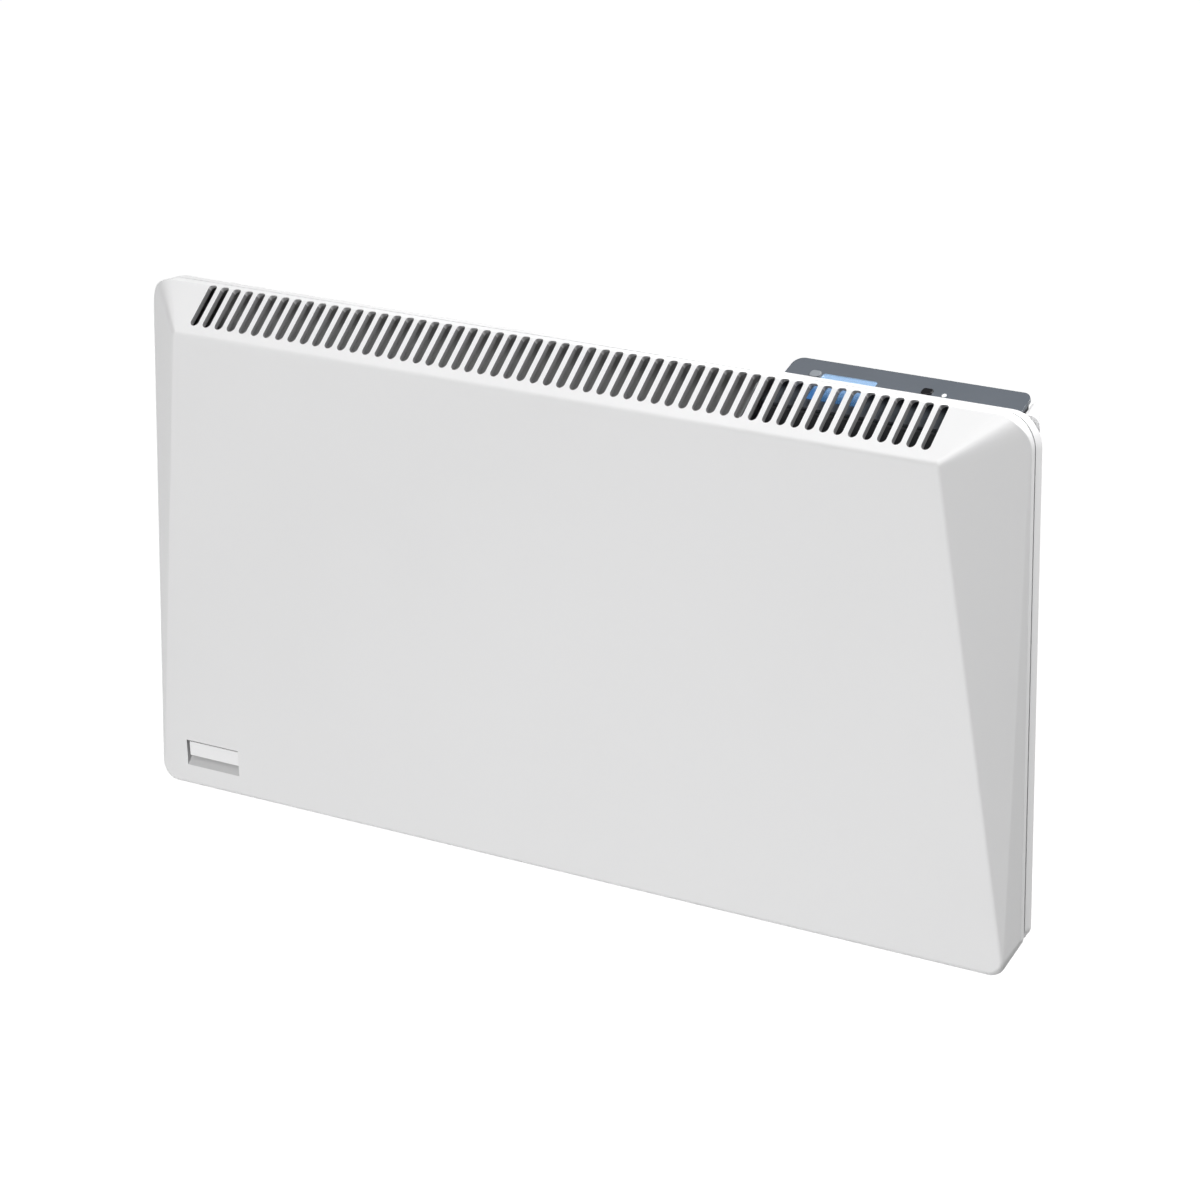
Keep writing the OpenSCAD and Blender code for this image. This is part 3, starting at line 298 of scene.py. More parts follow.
def zincMaterial(name, look):
    material, tree, shader = startMaterial(name)
    spangle = addNode(tree, "ShaderNodeGroup", node_tree=spangleGroup)
    spangle.inputs["Crystal Scale"].default_value = look["crystalScale"]
    grain = addNode(tree, "ShaderNodeGroup", node_tree=grainGroup)
    grain.inputs["Grain Scale"].default_value = 700
    grain.inputs["Grain Height"].default_value = 0.000006
    crystal = spangle.outputs["Crystal"]
    tone = toneMix(tree, crystal, look["dark"], look["light"])
    tree.links.new(tone, shader.inputs["Base Color"])
    tree.links.new(spread(tree, crystal, *look["rough"]), shader.inputs["Roughness"])
    tree.links.new(grain.outputs["Normal"], shader.inputs["Normal"])
    shader.inputs["Metallic"].default_value = 1
    return material


finishes = {
    "coverPaint": {"dark": (0.80, 0.80, 0.803), "light": (0.83, 0.83, 0.833), "rough": (0.36, 0.46),
                   "grainScale": 1100, "grainHeight": 0.000012, "patchScale": 6},
    "casingPaint": {"dark": (0.79, 0.79, 0.793), "light": (0.82, 0.82, 0.823), "rough": (0.38, 0.48),
                    "grainScale": 1100, "grainHeight": 0.000012, "patchScale": 6},
    # painted shade: near black on the cover's lip, so the seam between cover and casing reads as a shadow
    # line
    "seamPaintedShade": {"dark": (0.06, 0.06, 0.062), "light": (0.08, 0.08, 0.083), "rough": (0.6, 0.75)},
    # painted shade: dark grey on the slot walls, standing for the shade inside the slots
    "slotPaintedShade": {"dark": (0.17, 0.17, 0.172), "light": (0.2, 0.2, 0.203), "rough": (0.5, 0.6)},
    # painted shade: mid grey on the badge recess, standing for the shade under the plate; the slots' upper
    # ends use it as painted light, lighter than the slot walls
    "recessPaintedShade": {"dark": (0.5, 0.5, 0.503), "light": (0.54, 0.54, 0.543), "rough": (0.4, 0.5),
                    "grainScale": 1100, "grainHeight": 0.000012},
    # partly the bare inside finish and partly painted shade: a mid grey, darker than the paint, for the dim
    # inside of casing and cover
    "insideFinishAndShade": {"dark": (0.44, 0.44, 0.442), "light": (0.5, 0.5, 0.503), "rough": (0.5, 0.65)},
    "badgeBlank": {"dark": (0.9, 0.9, 0.905), "light": (0.93, 0.93, 0.935), "rough": (0.22, 0.3),
                   "grainScale": 600, "grainHeight": 0.000004},
    "fasciaGloss": {"dark": (0.12, 0.135, 0.155), "light": (0.14, 0.155, 0.178), "rough": (0.16, 0.24),
                    "grainScale": 350, "grainHeight": 0.000003, "patchScale": 14,
                    "coat": 0.6, "coatRough": 0.04},
    "housingPlastic": {"dark": (0.035, 0.036, 0.04), "light": (0.05, 0.052, 0.056), "rough": (0.5, 0.65),
                       "grainScale": 1500, "grainHeight": 0.00003},
    "keyGrey": {"dark": (0.24, 0.26, 0.28), "light": (0.29, 0.31, 0.33), "rough": (0.25, 0.35),
                "grainHeight": 0.000006},
    "keyBlack": {"dark": (0.01, 0.01, 0.011), "light": (0.018, 0.018, 0.02), "rough": (0.15, 0.25),
                 "grainHeight": 0.000004},
    "lampWhite": {"dark": (0.85, 0.86, 0.88), "light": (0.9, 0.91, 0.93), "rough": (0.12, 0.2),
                  "grainScale": 500, "grainHeight": 0.000002},
    "rubber": {"dark": (0.02, 0.02, 0.021), "light": (0.035, 0.035, 0.036), "rough": (0.7, 0.85),
               "grainScale": 1300, "grainHeight": 0.00004},
    "guardSteel": {"dark": (0.12, 0.12, 0.125), "light": (0.17, 0.17, 0.175), "rough": (0.5, 0.6),
                   "metal": 0.6},
    "screwSteel": {"dark": (0.55, 0.55, 0.57), "light": (0.68, 0.68, 0.69), "rough": (0.25, 0.38),
                   "metal": 1, "grainScale": 1600},
    "springSteel": {"dark": (0.42, 0.43, 0.45), "light": (0.52, 0.53, 0.54), "rough": (0.3, 0.42),
                    "metal": 1, "grainScale": 500, "stretch": (1, 1, 12)},
    "elementAluminium": {"dark": (0.5, 0.5, 0.51), "light": (0.62, 0.62, 0.63), "rough": (0.38, 0.5),
                         "metal": 1, "grainScale": 600, "stretch": (0.05, 1, 1)},
    "rodSteel": {"dark": (0.16, 0.13, 0.11), "light": (0.3, 0.27, 0.25), "rough": (0.4, 0.55),
                 "metal": 1, "patchScale": 40},
    "ceramic": {"dark": (0.74, 0.7, 0.62), "light": (0.8, 0.77, 0.7), "rough": (0.55, 0.7),
                "grainScale": 1500, "grainHeight": 0.00002},
    "brass": {"dark": (0.55, 0.4, 0.16), "light": (0.72, 0.55, 0.25), "rough": (0.28, 0.4), "metal": 1},
    "cutoutMetal": {"dark": (0.55, 0.55, 0.56), "light": (0.66, 0.66, 0.67), "rough": (0.3, 0.4),
                    "metal": 1},
    "boardGreen": {"dark": (0.012, 0.07, 0.03), "light": (0.02, 0.1, 0.045), "rough": (0.3, 0.4),
                   "grainScale": 350, "grainHeight": 0.00002, "patchScale": 300, "coat": 0.3},
    "switchBlack": {"dark": (0.02, 0.02, 0.02), "light": (0.04, 0.04, 0.04), "rough": (0.4, 0.5)},
    "relayBlue": {"dark": (0.02, 0.07, 0.26), "light": (0.03, 0.1, 0.34), "rough": (0.35, 0.45)},
    "transformerBlack": {"dark": (0.02, 0.02, 0.022), "light": (0.05, 0.05, 0.052),
                         "rough": (0.45, 0.6), "patchScale": 60},
    "capacitorYellow": {"dark": (0.6, 0.4, 0.04), "light": (0.72, 0.5, 0.08), "rough": (0.3, 0.4)},
    "sinkAluminium": {"dark": (0.56, 0.56, 0.57), "light": (0.66, 0.66, 0.67), "rough": (0.35, 0.45),
                      "metal": 1, "stretch": (1, 1, 0.05)},
    "terminalIvory": {"dark": (0.68, 0.65, 0.55), "light": (0.74, 0.71, 0.61), "rough": (0.35, 0.45)},
    "glandGrey": {"dark": (0.3, 0.31, 0.32), "light": (0.36, 0.37, 0.38), "rough": (0.45, 0.55),
                  "grainScale": 1400, "grainHeight": 0.00002},
    "sensorWhite": {"dark": (0.7, 0.68, 0.62), "light": (0.76, 0.74, 0.68), "rough": (0.35, 0.5)},
    "leadGrey": {"dark": (0.12, 0.12, 0.125), "light": (0.17, 0.17, 0.175), "rough": (0.4, 0.55)},
    "leadBrown": {"dark": (0.1, 0.035, 0.015), "light": (0.14, 0.055, 0.025), "rough": (0.35, 0.5)},
    "leadSleeve": {"dark": (0.5, 0.45, 0.35), "light": (0.72, 0.68, 0.58), "rough": (0.7, 0.9),
                   "speckled": True, "grainScale": 1400, "grainHeight": 0.0001},
    "ratingFoil": {"dark": (0.6, 0.6, 0.61), "light": (0.7, 0.7, 0.71), "rough": (0.3, 0.4),
                   "metal": 0.9, "stretch": (0.1, 1, 1)},
}
zincFinishes = {
    "zincSteel": {"crystalScale": 150, "dark": (0.5, 0.51, 0.53), "light": (0.66, 0.67, 0.69),
                  "rough": (0.34, 0.5)},
    "shieldSheet": {"crystalScale": 90, "dark": (0.42, 0.43, 0.44), "light": (0.56, 0.57, 0.58),
                    "rough": (0.35, 0.55)},
}
paint = {name: grainMaterial(name, look) for name, look in finishes.items()}
for name, look in zincFinishes.items():
    paint[name] = zincMaterial(name, look)

glow = {
    "deep": (0.06, 0.18, 0.42), "pale": (0.5, 0.68, 0.93),
    "front": -0.03, "rear": -0.02,  # metres along the depth, deep to pale: painted shade makes the front, under the cover's rim, deep blue
    "streakStretch": (0.3, 4, 4), "streakScale": 14, "streaks": (0.86, 1),
    "strength": 0.9, "skin": (0.072, 0.096, 0.12), "rough": 0.5,
}
pane = {"tint": (0.86, 0.94, 1.0), "bend": 1.3, "rough": (0, 0.03)}


def makeDisplayPaintedGlow():
    # painted light: the display glows instead of being lit by the lamps, with painted shade deep blue at the
    # front and palest toward the rear edge
    material, tree, shader = startMaterial("displayPaintedGlow")
    place = addNode(tree, "ShaderNodeTexCoord")
    parts = addNode(tree, "ShaderNodeSeparateXYZ")
    tree.links.new(place.outputs["Object"], parts.inputs[0])
    rise = addNode(tree, "ShaderNodeMapRange")
    rise.inputs["From Min"].default_value = glow["front"]
    rise.inputs["From Max"].default_value = glow["rear"]
    tree.links.new(parts.outputs["Y"], rise.inputs["Value"])
    grain = addNode(tree, "ShaderNodeGroup", node_tree=grainGroup)
    grain.inputs["Stretch"].default_value = glow["streakStretch"]
    grain.inputs["Patch Scale"].default_value = glow["streakScale"]
    grain.inputs["Grain Height"].default_value = 0
    streak = addNode(tree, "ShaderNodeMath", operation="MULTIPLY")
    tree.links.new(rise.outputs["Result"], streak.inputs[0])
    tree.links.new(spread(tree, grain.outputs["Patch"], *glow["streaks"]), streak.inputs[1])
    colour = toneMix(tree, streak.outputs[0], glow["deep"], glow["pale"])
    tree.links.new(colour, shader.inputs["Emission Color"])
    shader.inputs["Base Color"].default_value = (*glow["skin"], 1)
    shader.inputs["Emission Strength"].default_value = glow["strength"]
    shader.inputs["Roughness"].default_value = glow["rough"]
    return material


def makeDisplayPane():
    material, tree, shader = startMaterial("displayPane")
    shader.inputs["Base Color"].default_value = (*pane["tint"], 1)
    shader.inputs["Transmission Weight"].default_value = 1
    shader.inputs["IOR"].default_value = pane["bend"]
    grain = addNode(tree, "ShaderNodeGroup", node_tree=grainGroup)
    rough = spread(tree, grain.outputs["Patch"], *pane["rough"])
    tree.links.new(rough, shader.inputs["Roughness"])
    return material


paint["displayPaintedGlow"] = makeDisplayPaintedGlow()
paint["displayPane"] = makeDisplayPane()
print(len(paint), "finishes ready")

# the front cover and what is cut in it, in millimetres
cover = {
    "width": 800, "height": 400, "wall": 1.6,
    "back": -33.7, "rim": -43.2, "sideRim": -37.7, "fold": -73.96, "toe": -47.5,
    "cornerR": 24, "footCutHigh": 29, "footCutWide": 22, "footCutR": 8,
    "foldSideIn": 52, "foldTopIn": 33, "foldR": 6,
    "toeR": 4, "toeCornerR": 15, "toeSideIn": 6.6, "toeSteps": 8,
    "rimEdge": 1.2, "rimSteps": 4,
    "cornerBlend": 4,  # how softly the rim turns from the slope to the side
    "openBack": 3,  # how far the hollow runs out of the back
    "circleSteps": 96, "ballSteps": 64,
}
grille = {
    "slots": 56, "pitch": 12.1, "width": 7.6, "foot": 9, "head": -1.4,
    "wall": 4, "wallSide": 3, "wallEnd": 4,  # the slope is thicker round the slots
    "edge": 0.55, "edgeAngle": 40, "endSteps": 10, "endFlat": 0.002,
    "cut": 8,  # how far the cutter stands out of the slope on both sides
    "paintedLitEnd": 4.5,  # below the top, where the slots' ends take a lighter grey as painted light, for the light they catch
}
tongue = {
    "tip": -26, "root": -35.05, "foot": -34.6, "in": 1.9, "thick": 1.5, "cutIn": 6,
    "inletWide": 317, "inletHigh": 4.4, "inletBack": 2,
    "cut": 1,  # how far its cutters reach past it
}
badge = {
    "left": -364.5, "up": 16.5, "width": 53, "height": 20.5, "deep": 5,
    "plateHigh": 11.5, "plateGap": 0.9, "slope": 0.8, "back": 1.6,
    "cut": 3,  # how far the cutter stands out of the front
}
linings = {"outside": "coverPaint", "inside": "insideFinishAndShade", "slots": "slotPaintedShade", "recess": "recessPaintedShade"}

half = Vector((cover["width"] / 2, 0, cover["height"] / 2))
riseFront = cover["height"] - cover["foldTopIn"]
leanFront = math.atan2(cover["toe"] - cover["fold"], riseFront)
leanSide = math.atan2(cover["sideRim"] - cover["fold"], cover["foldSideIn"])
bevelOut = cover["rim"] - cover["fold"]
slopeLong = math.hypot(bevelOut, cover["foldTopIn"])
leanSlope = math.atan2(cover["foldTopIn"], bevelOut)
frontFace = Vector((0, -math.cos(leanFront), -math.sin(leanFront)))
slopeFace = Vector((0, -math.sin(leanSlope), math.cos(leanSlope)))
sideFace = Vector((math.sin(leanSide), -math.cos(leanSide), 0))
foldLine = Vector((0, cover["fold"], half.z - cover["foldTopIn"]))

# a ball that touches front, slope and side rounds the corner of the fold
foldBall = Vector((half.x - cover["foldSideIn"], cover["fold"], half.z - cover["foldTopIn"]))
foldBall -= cover["foldR"] * (
    frontFace.cross(slopeFace) + slopeFace.cross(sideFace) + sideFace.cross(frontFace)
) / frontFace.dot(slopeFace.cross(sideFace))
toeRing = cover["toe"] + cover["toeR"] * (1 - math.sin(leanFront)) / math.cos(leanFront)

upright = Matrix.Rotation(math.pi / 2, 4, "X")
onSlope = Matrix.Translation(foldLine * mm) @ Matrix.Rotation(leanSlope - math.pi / 2, 4, "X")
onFront = (
    Matrix.Translation(Vector((0, cover["toe"], -half.z)) * mm) @ Matrix.Rotation(leanFront, 4, "X")
)


def block(bm, low, high, turn=Matrix()):
    low, high = Vector(low) * mm, Vector(high) * mm
    size = high - low
    spot = turn @ Matrix.Translation((low + high) / 2) @ Matrix.Diagonal((*size, 1))
    return bmesh.ops.create_cube(bm, size=1, matrix=spot)["verts"]


def uprightCircle(bm, spot, radius, segments=cover["circleSteps"]):
    # faces the front, with its middle and radius in millimetres
    place = Matrix.Translation(spot * mm) @ upright
    return bmesh.ops.create_circle(bm, segments=segments, radius=radius * mm, matrix=place)["verts"]


def addOutline(bm, depth, inset, cutIn=0):
    # circles in the panel's rounded corners, the two cut-off ones included
    for x, z, radius in (
        (half.x - cover["cornerR"], half.z - cover["cornerR"], cover["cornerR"]),
        (half.x - cover["footCutR"], cover["footCutHigh"] + cutIn - half.z, cover["footCutR"]),
        (half.x - cover["footCutWide"] - cutIn, cover["footCutR"] - half.z, cover["footCutR"]),
    ):
        for side in (-1, 1):
            uprightCircle(bm, Vector((side * x, depth, z)), radius - inset)


def wrap(bm):
    # one smooth hull round everything in the mesh
    hull = bmesh.ops.convex_hull(bm, input=bm.verts)
    loose = hull["geom_interior"] + hull["geom_unused"]
    inside = {v for v in loose if isinstance(v, bmesh.types.BMVert)}
    bmesh.ops.delete(bm, geom=list(inside), context="VERTS")
    bmesh.ops.delete(bm, geom=[v for v in bm.verts if not v.link_faces], context="VERTS")
    mergeFlat(bm, weld=2e-6, flat=0.2)
    bmesh.ops.recalc_face_normals(bm, faces=bm.faces)
    bmesh.ops.triangulate(bm, faces=bm.faces)
    return bm


def cornerDepth(out, side, radius, topRim, sideRim):
    # round an upper corner the rim follows the slope, then the side
    onTop = topRim - max(radius - out.z, 0) / math.tan(leanSlope)
    onSide = sideRim - max(radius - side * out.x, 0) * math.tan(leanSide)
    blend = math.log(1 + math.exp(-abs(onTop - onSide) / cover["cornerBlend"])) * cover["cornerBlend"]
    return min(max(onTop, onSide) + blend, sideRim)


def addRim(bm, inset, edge):
    sideRim = cover["sideRim"] + (inset + edge) * (1 - math.sin(leanSide)) / math.cos(leanSide)
    topRim = cover["rim"] + (inset + edge) * (1 - math.cos(leanSlope)) / math.sin(leanSlope)
    for step in range(cover["rimSteps"] + 1 if edge else 1):  # its rounded front edge
        turn = math.radians(step * 90 / cover["rimSteps"])
        inward, forward = edge * (1 - math.cos(turn)), edge * math.sin(turn)
        addOutline(bm, sideRim - forward, inset + inward)
        radius = cover["cornerR"] - inset - inward
        for side in (-1, 1):
            hub = Vector((side * (half.x - cover["cornerR"]), 0, half.z - cover["cornerR"]))
            for v in uprightCircle(bm, hub, radius):
                out = (v.co - hub * mm) / mm
                v.co.y = (cornerDepth(out, side, radius, topRim, sideRim) - forward) * mm


def coverForm(inset, edge=0):
    # the outer form, or with an inset the hollow in it
    bm = bmesh.new()
    addOutline(bm, cover["back"] + (cover["openBack"] if inset else 0), inset)
    addRim(bm, inset, edge)
    toeR = cover["toeR"] - inset
    for side in (-1, 1):
        spot = Vector((side * foldBall.x, foldBall.y, foldBall.z)) * mm
        bmesh.ops.create_uvsphere(
            bm, u_segments=cover["ballSteps"], v_segments=cover["ballSteps"] // 2,
            radius=(cover["foldR"] - inset) * mm, matrix=Matrix.Translation(spot),
        )
        for step in range(cover["toeSteps"] + 1):
            turn = math.radians(step * 90 / cover["toeSteps"])
            radius = cover["toeCornerR"] - cover["toeR"] + toeR * math.cos(turn)
            spot = Vector((side * (half.x - cover["toeCornerR"] - cover["toeSideIn"]),
                           toeRing - toeR * math.sin(turn), cover["toeCornerR"] - half.z))
            uprightCircle(bm, spot, radius)
    return wrap(bm)


def makeSlots():
    # one slot up the slope, its ends rounded, repeated along the cover
    bm = bmesh.new()
    side = grille["width"] / 2
    along = Vector((0, math.cos(leanSlope), math.sin(leanSlope)))
    low, high = foldLine + along * grille["foot"], foldLine + along * (slopeLong - grille["head"])
    out = slopeFace * grille["cut"]
    first = -(grille["slots"] - 1) / 2 * grille["pitch"] - side
    outline = [point + Vector((first, 0, 0)) for point in (low + out, low - out, high - out, high + out)]
    bm.faces.new([bm.verts.new(point * mm) for point in outline])
    grown = bmesh.ops.extrude_face_region(bm, geom=bm.faces[:])["geom"]
    moved = [v for v in grown if isinstance(v, bmesh.types.BMVert)]
    bmesh.ops.translate(bm, verts=moved, vec=(2 * side * mm, 0, 0))
    bmesh.ops.recalc_face_normals(bm, faces=bm.faces)
    tiny = 1e-7
    ends = [e for e in bm.edges if abs(e.verts[0].co.x - e.verts[1].co.x) < tiny
            and abs((e.verts[0].co - e.verts[1].co).dot(along)) < tiny]
    bmesh.ops.bevel(
        bm, geom=ends, offset=(side - grille["endFlat"]) * mm, offset_type="OFFSET",
        affect="EDGES", segments=grille["endSteps"], profile=0.5, material=-1,
    )
    bmesh.ops.triangulate(bm, faces=bm.faces)
    bmesh.ops.spin(
        bm, geom=bm.verts[:] + bm.edges[:] + bm.faces[:], angle=0, steps=grille["slots"] - 1,
        dvec=(grille["pitch"] * mm, 0, 0), use_duplicate=True, axis=(0, 0, 1), cent=(0, 0, 0),
    )
    bmesh.ops.recalc_face_normals(bm, faces=bm.faces)
    return shapeObject("slotCutter", bm, smooth=False)


def liningIndex(side):
    return list(linings).index(side)


def lined(piece, side):
    # a cutter with this lining leaves it on the faces that it cuts
    piece.data.materials.clear()
    for finish in linings.values():
        piece.data.materials.append(paint[finish])
    indices = [liningIndex(side)] * len(piece.data.polygons)
    piece.data.polygons.foreach_set("material_index", indices)
    return piece


def outlinePlate(name, near, far, inset, cutIn=0):
    bm = bmesh.new()
    for depth in (near, far):
        addOutline(bm, depth, inset, cutIn)
    return shapeObject(name, wrap(bm), smooth=False)


def makeTongue():
    # lip that reaches into the casing, left out over the inlet slots
    near, far, cut = tongue["root"], tongue["tip"], tongue["cut"]
    lip = outlinePlate("coverLip", near, far, tongue["in"], tongue["cutIn"])
    carve(lip, outlinePlate("lipRoot", near, tongue["foot"], cover["wall"] / 2), "UNION")
    inside = tongue["in"] + tongue["thick"]
    carve(lip, outlinePlate("lipInside", near - cut, far + cut, inside, tongue["cutIn"]))
    bm = bmesh.new()
    block(bm, (-tongue["inletWide"], cover["back"] + tongue["inletBack"], -half.z),
          (tongue["inletWide"], far + cut, tongue["inletHigh"] - half.z))
    carve(lip, shapeObject("inletGap", bm, smooth=False))
    lip.data.materials.clear()
    # painted shade: the lip takes the near black that stands for the seam's shadow
    dress(lip, "heater", "cover_paint", [paint["seamPaintedShade"]])


def makePads():
    # what the hollow leaves standing: the thick slope and the back of the recess
    bm = bmesh.new()
    deep = -10  # well past the outside
    wide = grille["slots"] * grille["pitch"] / 2 + grille["wallSide"]
    block(bm, (-wide, deep, grille["foot"] - grille["wallEnd"]),
          (wide, grille["wall"], slopeLong + grille["wallEnd"]), onSlope)
    back = badge["back"]
    block(bm, (badge["left"] - back, deep, badge["up"] - back),
          (badge["left"] + badge["width"] + back, badge["deep"] + back, badge["up"] + badge["height"] + back),
          onFront)
    return shapeObject("coverPads", bm, smooth=False)


def makeRecess():
    # square behind the plate, sloping out below it
    bm = bmesh.new()
    low = badge["height"] - badge["plateHigh"] - badge["plateGap"]
    verts = block(bm, (badge["left"], -badge["cut"], 0),
                  (badge["left"] + badge["width"], badge["deep"], badge["height"]))
    inner = [v for v in verts if v.co.y > 0 and v.co.z < 1 * mm]
    bmesh.ops.translate(bm, verts=inner, vec=(0, 0, low * badge["slope"] * mm))
    outer = [v for v in verts if v.co.y < 0 and v.co.z < 1 * mm]
    drop = -low * badge["slope"] * badge["cut"] / badge["deep"]
    bmesh.ops.translate(bm, verts=outer, vec=(0, 0, drop * mm))
    spot = onFront @ Matrix.Translation((0, 0, badge["up"] * mm))
    bmesh.ops.transform(bm, matrix=spot, verts=bm.verts)
    return shapeObject("badgeCutter", bm, smooth=False)


def makeCover():
    shell = shapeObject("frontCoverShell", coverForm(0, cover["rimEdge"]), smooth=False)
    hollow = shapeObject("coverHollow", coverForm(cover["wall"]), smooth=False)
    carve(hollow, makePads())
    lined(shell, "outside")
    carve(shell, lined(hollow, "inside"))
    # painted shade: the slot cutter leaves its dark grey on the slot walls
    carve(shell, lined(makeSlots(), "slots"))
    # painted shade: the recess cutter leaves a mid grey on the recess faces, standing for the shade under the
    # plate
    carve(shell, lined(makeRecess(), "recess"))

    paintedLitAbove = (half.z - grille["paintedLitEnd"]) * mm
    for face in shell.data.polygons:  # painted light: the slots' upper ends take the recess's mid grey, lighter than the slot walls' painted shade
        if face.material_index == liningIndex("slots") and face.center.z > paintedLitAbove:
            face.material_index = liningIndex("recess")

    bm = mergedMesh(shell, flat=0.15, carved=True)
    gaps = [e for e in bm.edges if e.is_boundary]  # the carving can drop a sliver inside
    for face in bmesh.ops.holes_fill(bm, edges=gaps, sides=6)["faces"]:
        face.material_index = liningIndex("inside")
    bmesh.ops.recalc_face_normals(bm, faces=bm.faces)
    shell.data.clear_geometry()
    bm.to_mesh(shell.data)
    bm.free()
    shell.data.shade_smooth()
    softEdges(shell, grille["edge"], angle=grille["edgeAngle"])
    evenNormals(shell)
    dress(shell, "heater", "cover_paint", [], "front_cover")


makeCover()
makeTongue()
print("front cover made")

# depths in millimetres between which the casing's hollow side lies
casingHollow = {"front": -31, "floor": -23, "walls": -22.5, "edge": 0.5, "edgeAngle": 50}


def makeCasing():
    finishPair = [paint["casingPaint"], paint["insideFinishAndShade"]]
    casing = softCopy("rear_casing", "heater", "casing_paint", finishPair,
                      casingHollow["edge"], angle=casingHollow["edgeAngle"])
    # the faces inside the casing take the mid grey, partly bare finish and partly painted shade
    for face in casing.data.polygons:
        spot, out = face.center / mm, face.normal
        facesFront = out.y < -0.9
        facesIn = out.x * spot.x + out.z * spot.z < -1
        onFloor = casingHollow["front"] < spot.y < casingHollow["floor"] and facesFront
        onWalls = casingHollow["front"] < spot.y < casingHollow["walls"] and facesIn
        if onFloor or onWalls:
            face.material_index = finishPair.index(paint["insideFinishAndShade"])


makeCasing()

softened = {  # body, slot, finish, width of the rounding in millimetres, its segments, its angle
    "badge_plate": ("heater", "badge_blank", "badgeBlank", 0.3, 2, 35),
    "fascia_plate": ("heater", "fascia_gloss", "fasciaGloss", 0.35, 2, 50),
    "cable_entry": ("heater", "housing_plastic", "housingPlastic", 0.6, 2, 35),
    "wall_bracket": ("wall_bracket", "zinc_steel", "zincSteel", 0.25, 1, 50),
    "bracket_bumpers": ("wall_bracket", "rubber", "rubber", 0.5, 3, 35),
    "mode_key": ("mode_key", "key_grey", "keyGrey", 0.35, 3, 50),
    "select_key": ("select_key", "key_black", "keyBlack", 0.35, 3, 50),
}
for nodeName, (body, slotName, finish, width, segments, angle) in softened.items():
    softCopy(nodeName, body, slotName, [paint[finish]], width, segments, angle)

cheek = {
    "rounds": (  # depth, x, upper and lower middle, radius
        (-24, 389, 189, 182, 8.4),
        (-10, 384.6, 199.6, 196, 3.4),
    ),
    "segments": 64, "edge": 1.2, "edgeSteps": 3, "edgeAngle": 50,
}


def makeCheek():
    # shoulder of the casing beside the control plate
    bm = bmesh.new()
    for depth, x, high, low, radius in cheek["rounds"]:
        for z in (high, low):
            uprightCircle(bm, Vector((x, depth, z)), radius, cheek["segments"])
    piece = shapeObject("casingCheek", wrap(bm))
    softEdges(piece, cheek["edge"], cheek["edgeSteps"], cheek["edgeAngle"])
    evenNormals(piece)
    dress(piece, "heater", "casing_paint", [paint["casingPaint"]])


housing = {
    "corners": ((-5, 8), (-7, 6)),  # depth of the upright edge and its radius
    "cornerLong": 50, "cornerSteps": 6, "edge": 0.5,
}


def makeHousing():
    # its corners behind the control plate are rounded like the plate's
    bm = mergedMesh(nodes["control_housing"])
    for depth, radius in housing["corners"]:
        corners = [e for e in bm.edges if e.calc_length() > housing["cornerLong"] * mm
                   and abs(e.verts[0].co.x - e.verts[1].co.x) < 1e-5
                   and all(abs(v.co.y / mm - depth) < 0.1 for v in e.verts)]
        bmesh.ops.bevel(
            bm, geom=corners, offset=radius * mm, offset_type="OFFSET", affect="EDGES",
            segments=housing["cornerSteps"], profile=0.5, material=-1,
        )
    softCopy("control_housing", "heater", "housing_plastic", [paint["housingPlastic"]],
             housing["edge"], bm=bm)


makeCheek()
makeHousing()
print("casing, plate, bracket, keys and housing softened")

finishOf = {
    "cover_screws": "screwSteel", "inlet_guard": "guardSteel", "hanger_plates": "zincSteel",
    "retaining_clips": "springSteel", "clip_rivets": "screwSteel", "heat_shield": "shieldSheet",
    "front_baffle": "shieldSheet", "partition_plate": "shieldSheet", "element_fins": "elementAluminium",
    "element_rod": "rodSteel", "element_bushes": "ceramic", "left_element_bracket": "zincSteel",
    "right_element_bracket": "zincSteel", "element_terminals": "brass", "element_screws": "screwSteel",
    "thermal_cutout": "cutoutMetal", "housing_screws": "screwSteel", "display_window": "displayPane",
    "display_module": "displayPaintedGlow", "lamp_lens": "lampWhite", "keypad_board": "boardGreen",
    "key_switches": "switchBlack", "control_board": "boardGreen", "board_screws": "screwSteel",
    "relay": "relayBlue", "transformer": "transformerBlack", "capacitor": "capacitorYellow",
    "heat_sink": "sinkAluminium", "terminal_block": "terminalIvory", "terminal_screws": "brass",
    "cable_clamp": "terminalIvory", "clamp_screws": "screwSteel", "entry_screws": "screwSteel",
    "cable_gland": "glandGrey", "gland_nut": "glandGrey", "earth_stud": "brass",
    "room_sensor": "sensorWhite", "sensor_lead": "leadGrey", "supply_leads": "leadBrown",
    "element_leads": "leadSleeve", "rating_plate": "ratingFoil",
}
for nodeName, finish in finishOf.items():
    slots = nodes[nodeName].data.materials
    if not slots:
        slots.append(paint[finish])
    for index in range(len(slots)):
        slots[index] = paint[finish]
print("carried-over nodes finished")

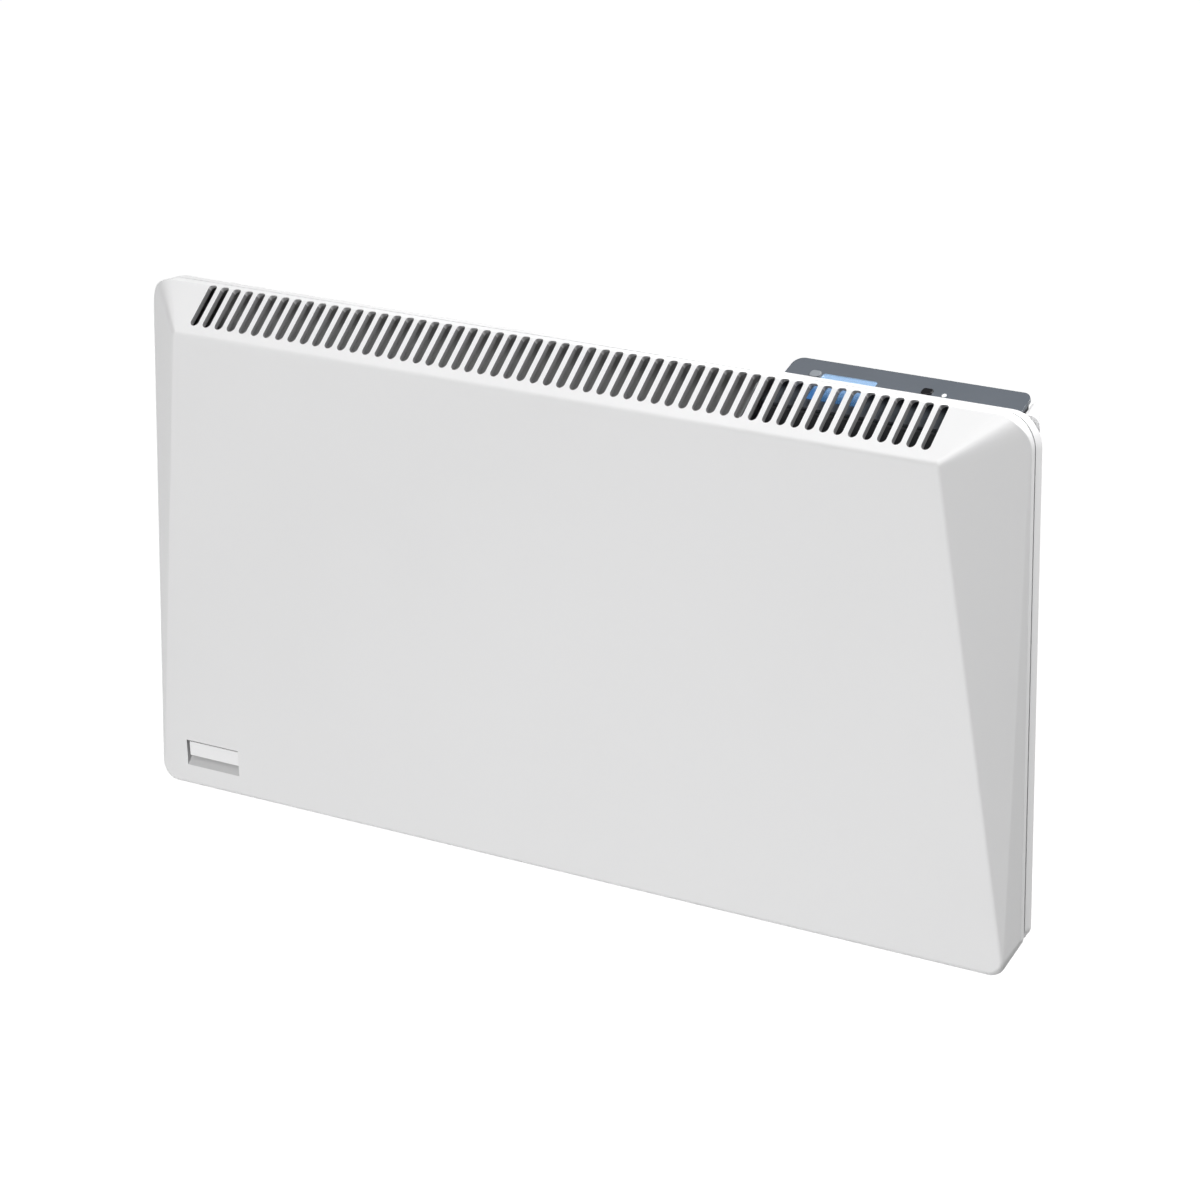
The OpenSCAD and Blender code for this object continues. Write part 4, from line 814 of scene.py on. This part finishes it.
studio = {
    "floorDrop": 1.6, "floorSize": 160, "floorTone": 0.8, "floorPatch": 0.99, "floorGlow": 0.97,
    "sky": 0.05, "skySeen": 0.98,
    "lights": {
        "frontHigh": {"spot": (-0.4, -1.7, 1.7), "aim": (0, 0, 0.1), "size": (1.6, 0.9), "power": 22.5},
        "topFlat": {"spot": (0.3, -1.0, 2.2), "aim": (0, 0, 0.1), "size": (1.8, 0.9), "power": 11},
        "frontLow": {"spot": (-0.25, -1.8, -0.65), "aim": (-0.05, 0, 0), "size": (1.3, 0.8), "power": 13.3},
        "lowPanel": {"spot": (0, -1.6, -1.4), "aim": (0, 0, 0), "size": (2.4, 1.4), "power": 13.7},
        "topRight": {"spot": (1.7, 0.7, 2.3), "aim": (0.1, -0.05, 0.15), "size": (1.8, 1.2), "power": 100},
        "rearPanel": {"spot": (-0.9, 3.0, 0.9), "aim": (0, 0, 0), "size": (1.8, 1.4), "power": 40},
    },
}


def makeFloor():
    bm = bmesh.new()
    level = Matrix.Translation((0, 0, -studio["floorDrop"]))
    bmesh.ops.create_grid(bm, x_segments=1, y_segments=1, size=studio["floorSize"] / 2, matrix=level)
    floor = shapeObject("studioFloor", bm, smooth=False)
    material, tree, shader = startMaterial("floorPale")
    grain = addNode(tree, "ShaderNodeGroup", node_tree=grainGroup)
    grain.inputs["Patch Scale"].default_value = 0.4
    tone = studio["floorTone"]
    patch = toneMix(tree, grain.outputs["Patch"], (tone * studio["floorPatch"],) * 3, (tone,) * 3)
    tree.links.new(patch, shader.inputs["Base Color"])
    shader.inputs["Roughness"].default_value = 0.9
    shader.inputs["Specular IOR Level"].default_value = 0
    shader.inputs["Emission Color"].default_value = (1, 1, 1, 1)
    shader.inputs["Emission Strength"].default_value = studio["floorGlow"]
    floor.data.materials.append(material)
    floor.visible_diffuse = False  # its light is in the panels


def makeSky():
    # dim on the object, bright where the camera sees it
    world = bpy.data.worlds.new("studioSky")
    world.use_nodes = True
    tree = world.node_tree
    seen = addNode(tree, "ShaderNodeLightPath")
    power = addNode(tree, "ShaderNodeMix")
    power.inputs[2].default_value = studio["sky"]
    power.inputs[3].default_value = studio["skySeen"]
    tree.links.new(seen.outputs["Is Camera Ray"], power.inputs["Factor"])
    sky = tree.nodes["Background"]
    sky.inputs["Color"].default_value = (1, 1, 1, 1)
    tree.links.new(power.outputs[0], sky.inputs["Strength"])
    bpy.context.scene.world = world


def makeLights():
    for name, light in studio["lights"].items():
        data = bpy.data.lights.new(name, "AREA")
        data.shape = "RECTANGLE"
        data.size, data.size_y = light["size"]
        data.energy = light["power"]
        lamp = bpy.data.objects.new(name, data)
        lamp.visible_camera = False
        lamp.location = light["spot"]
        facing = Vector(light["aim"]) - Vector(light["spot"])
        lamp.rotation_euler = facing.to_track_quat("-Z", "Y").to_euler()
        bpy.context.scene.collection.objects.link(lamp)


makeFloor()
makeSky()
makeLights()
bpy.context.scene.view_settings.view_transform = "Standard"
print("studio ready")
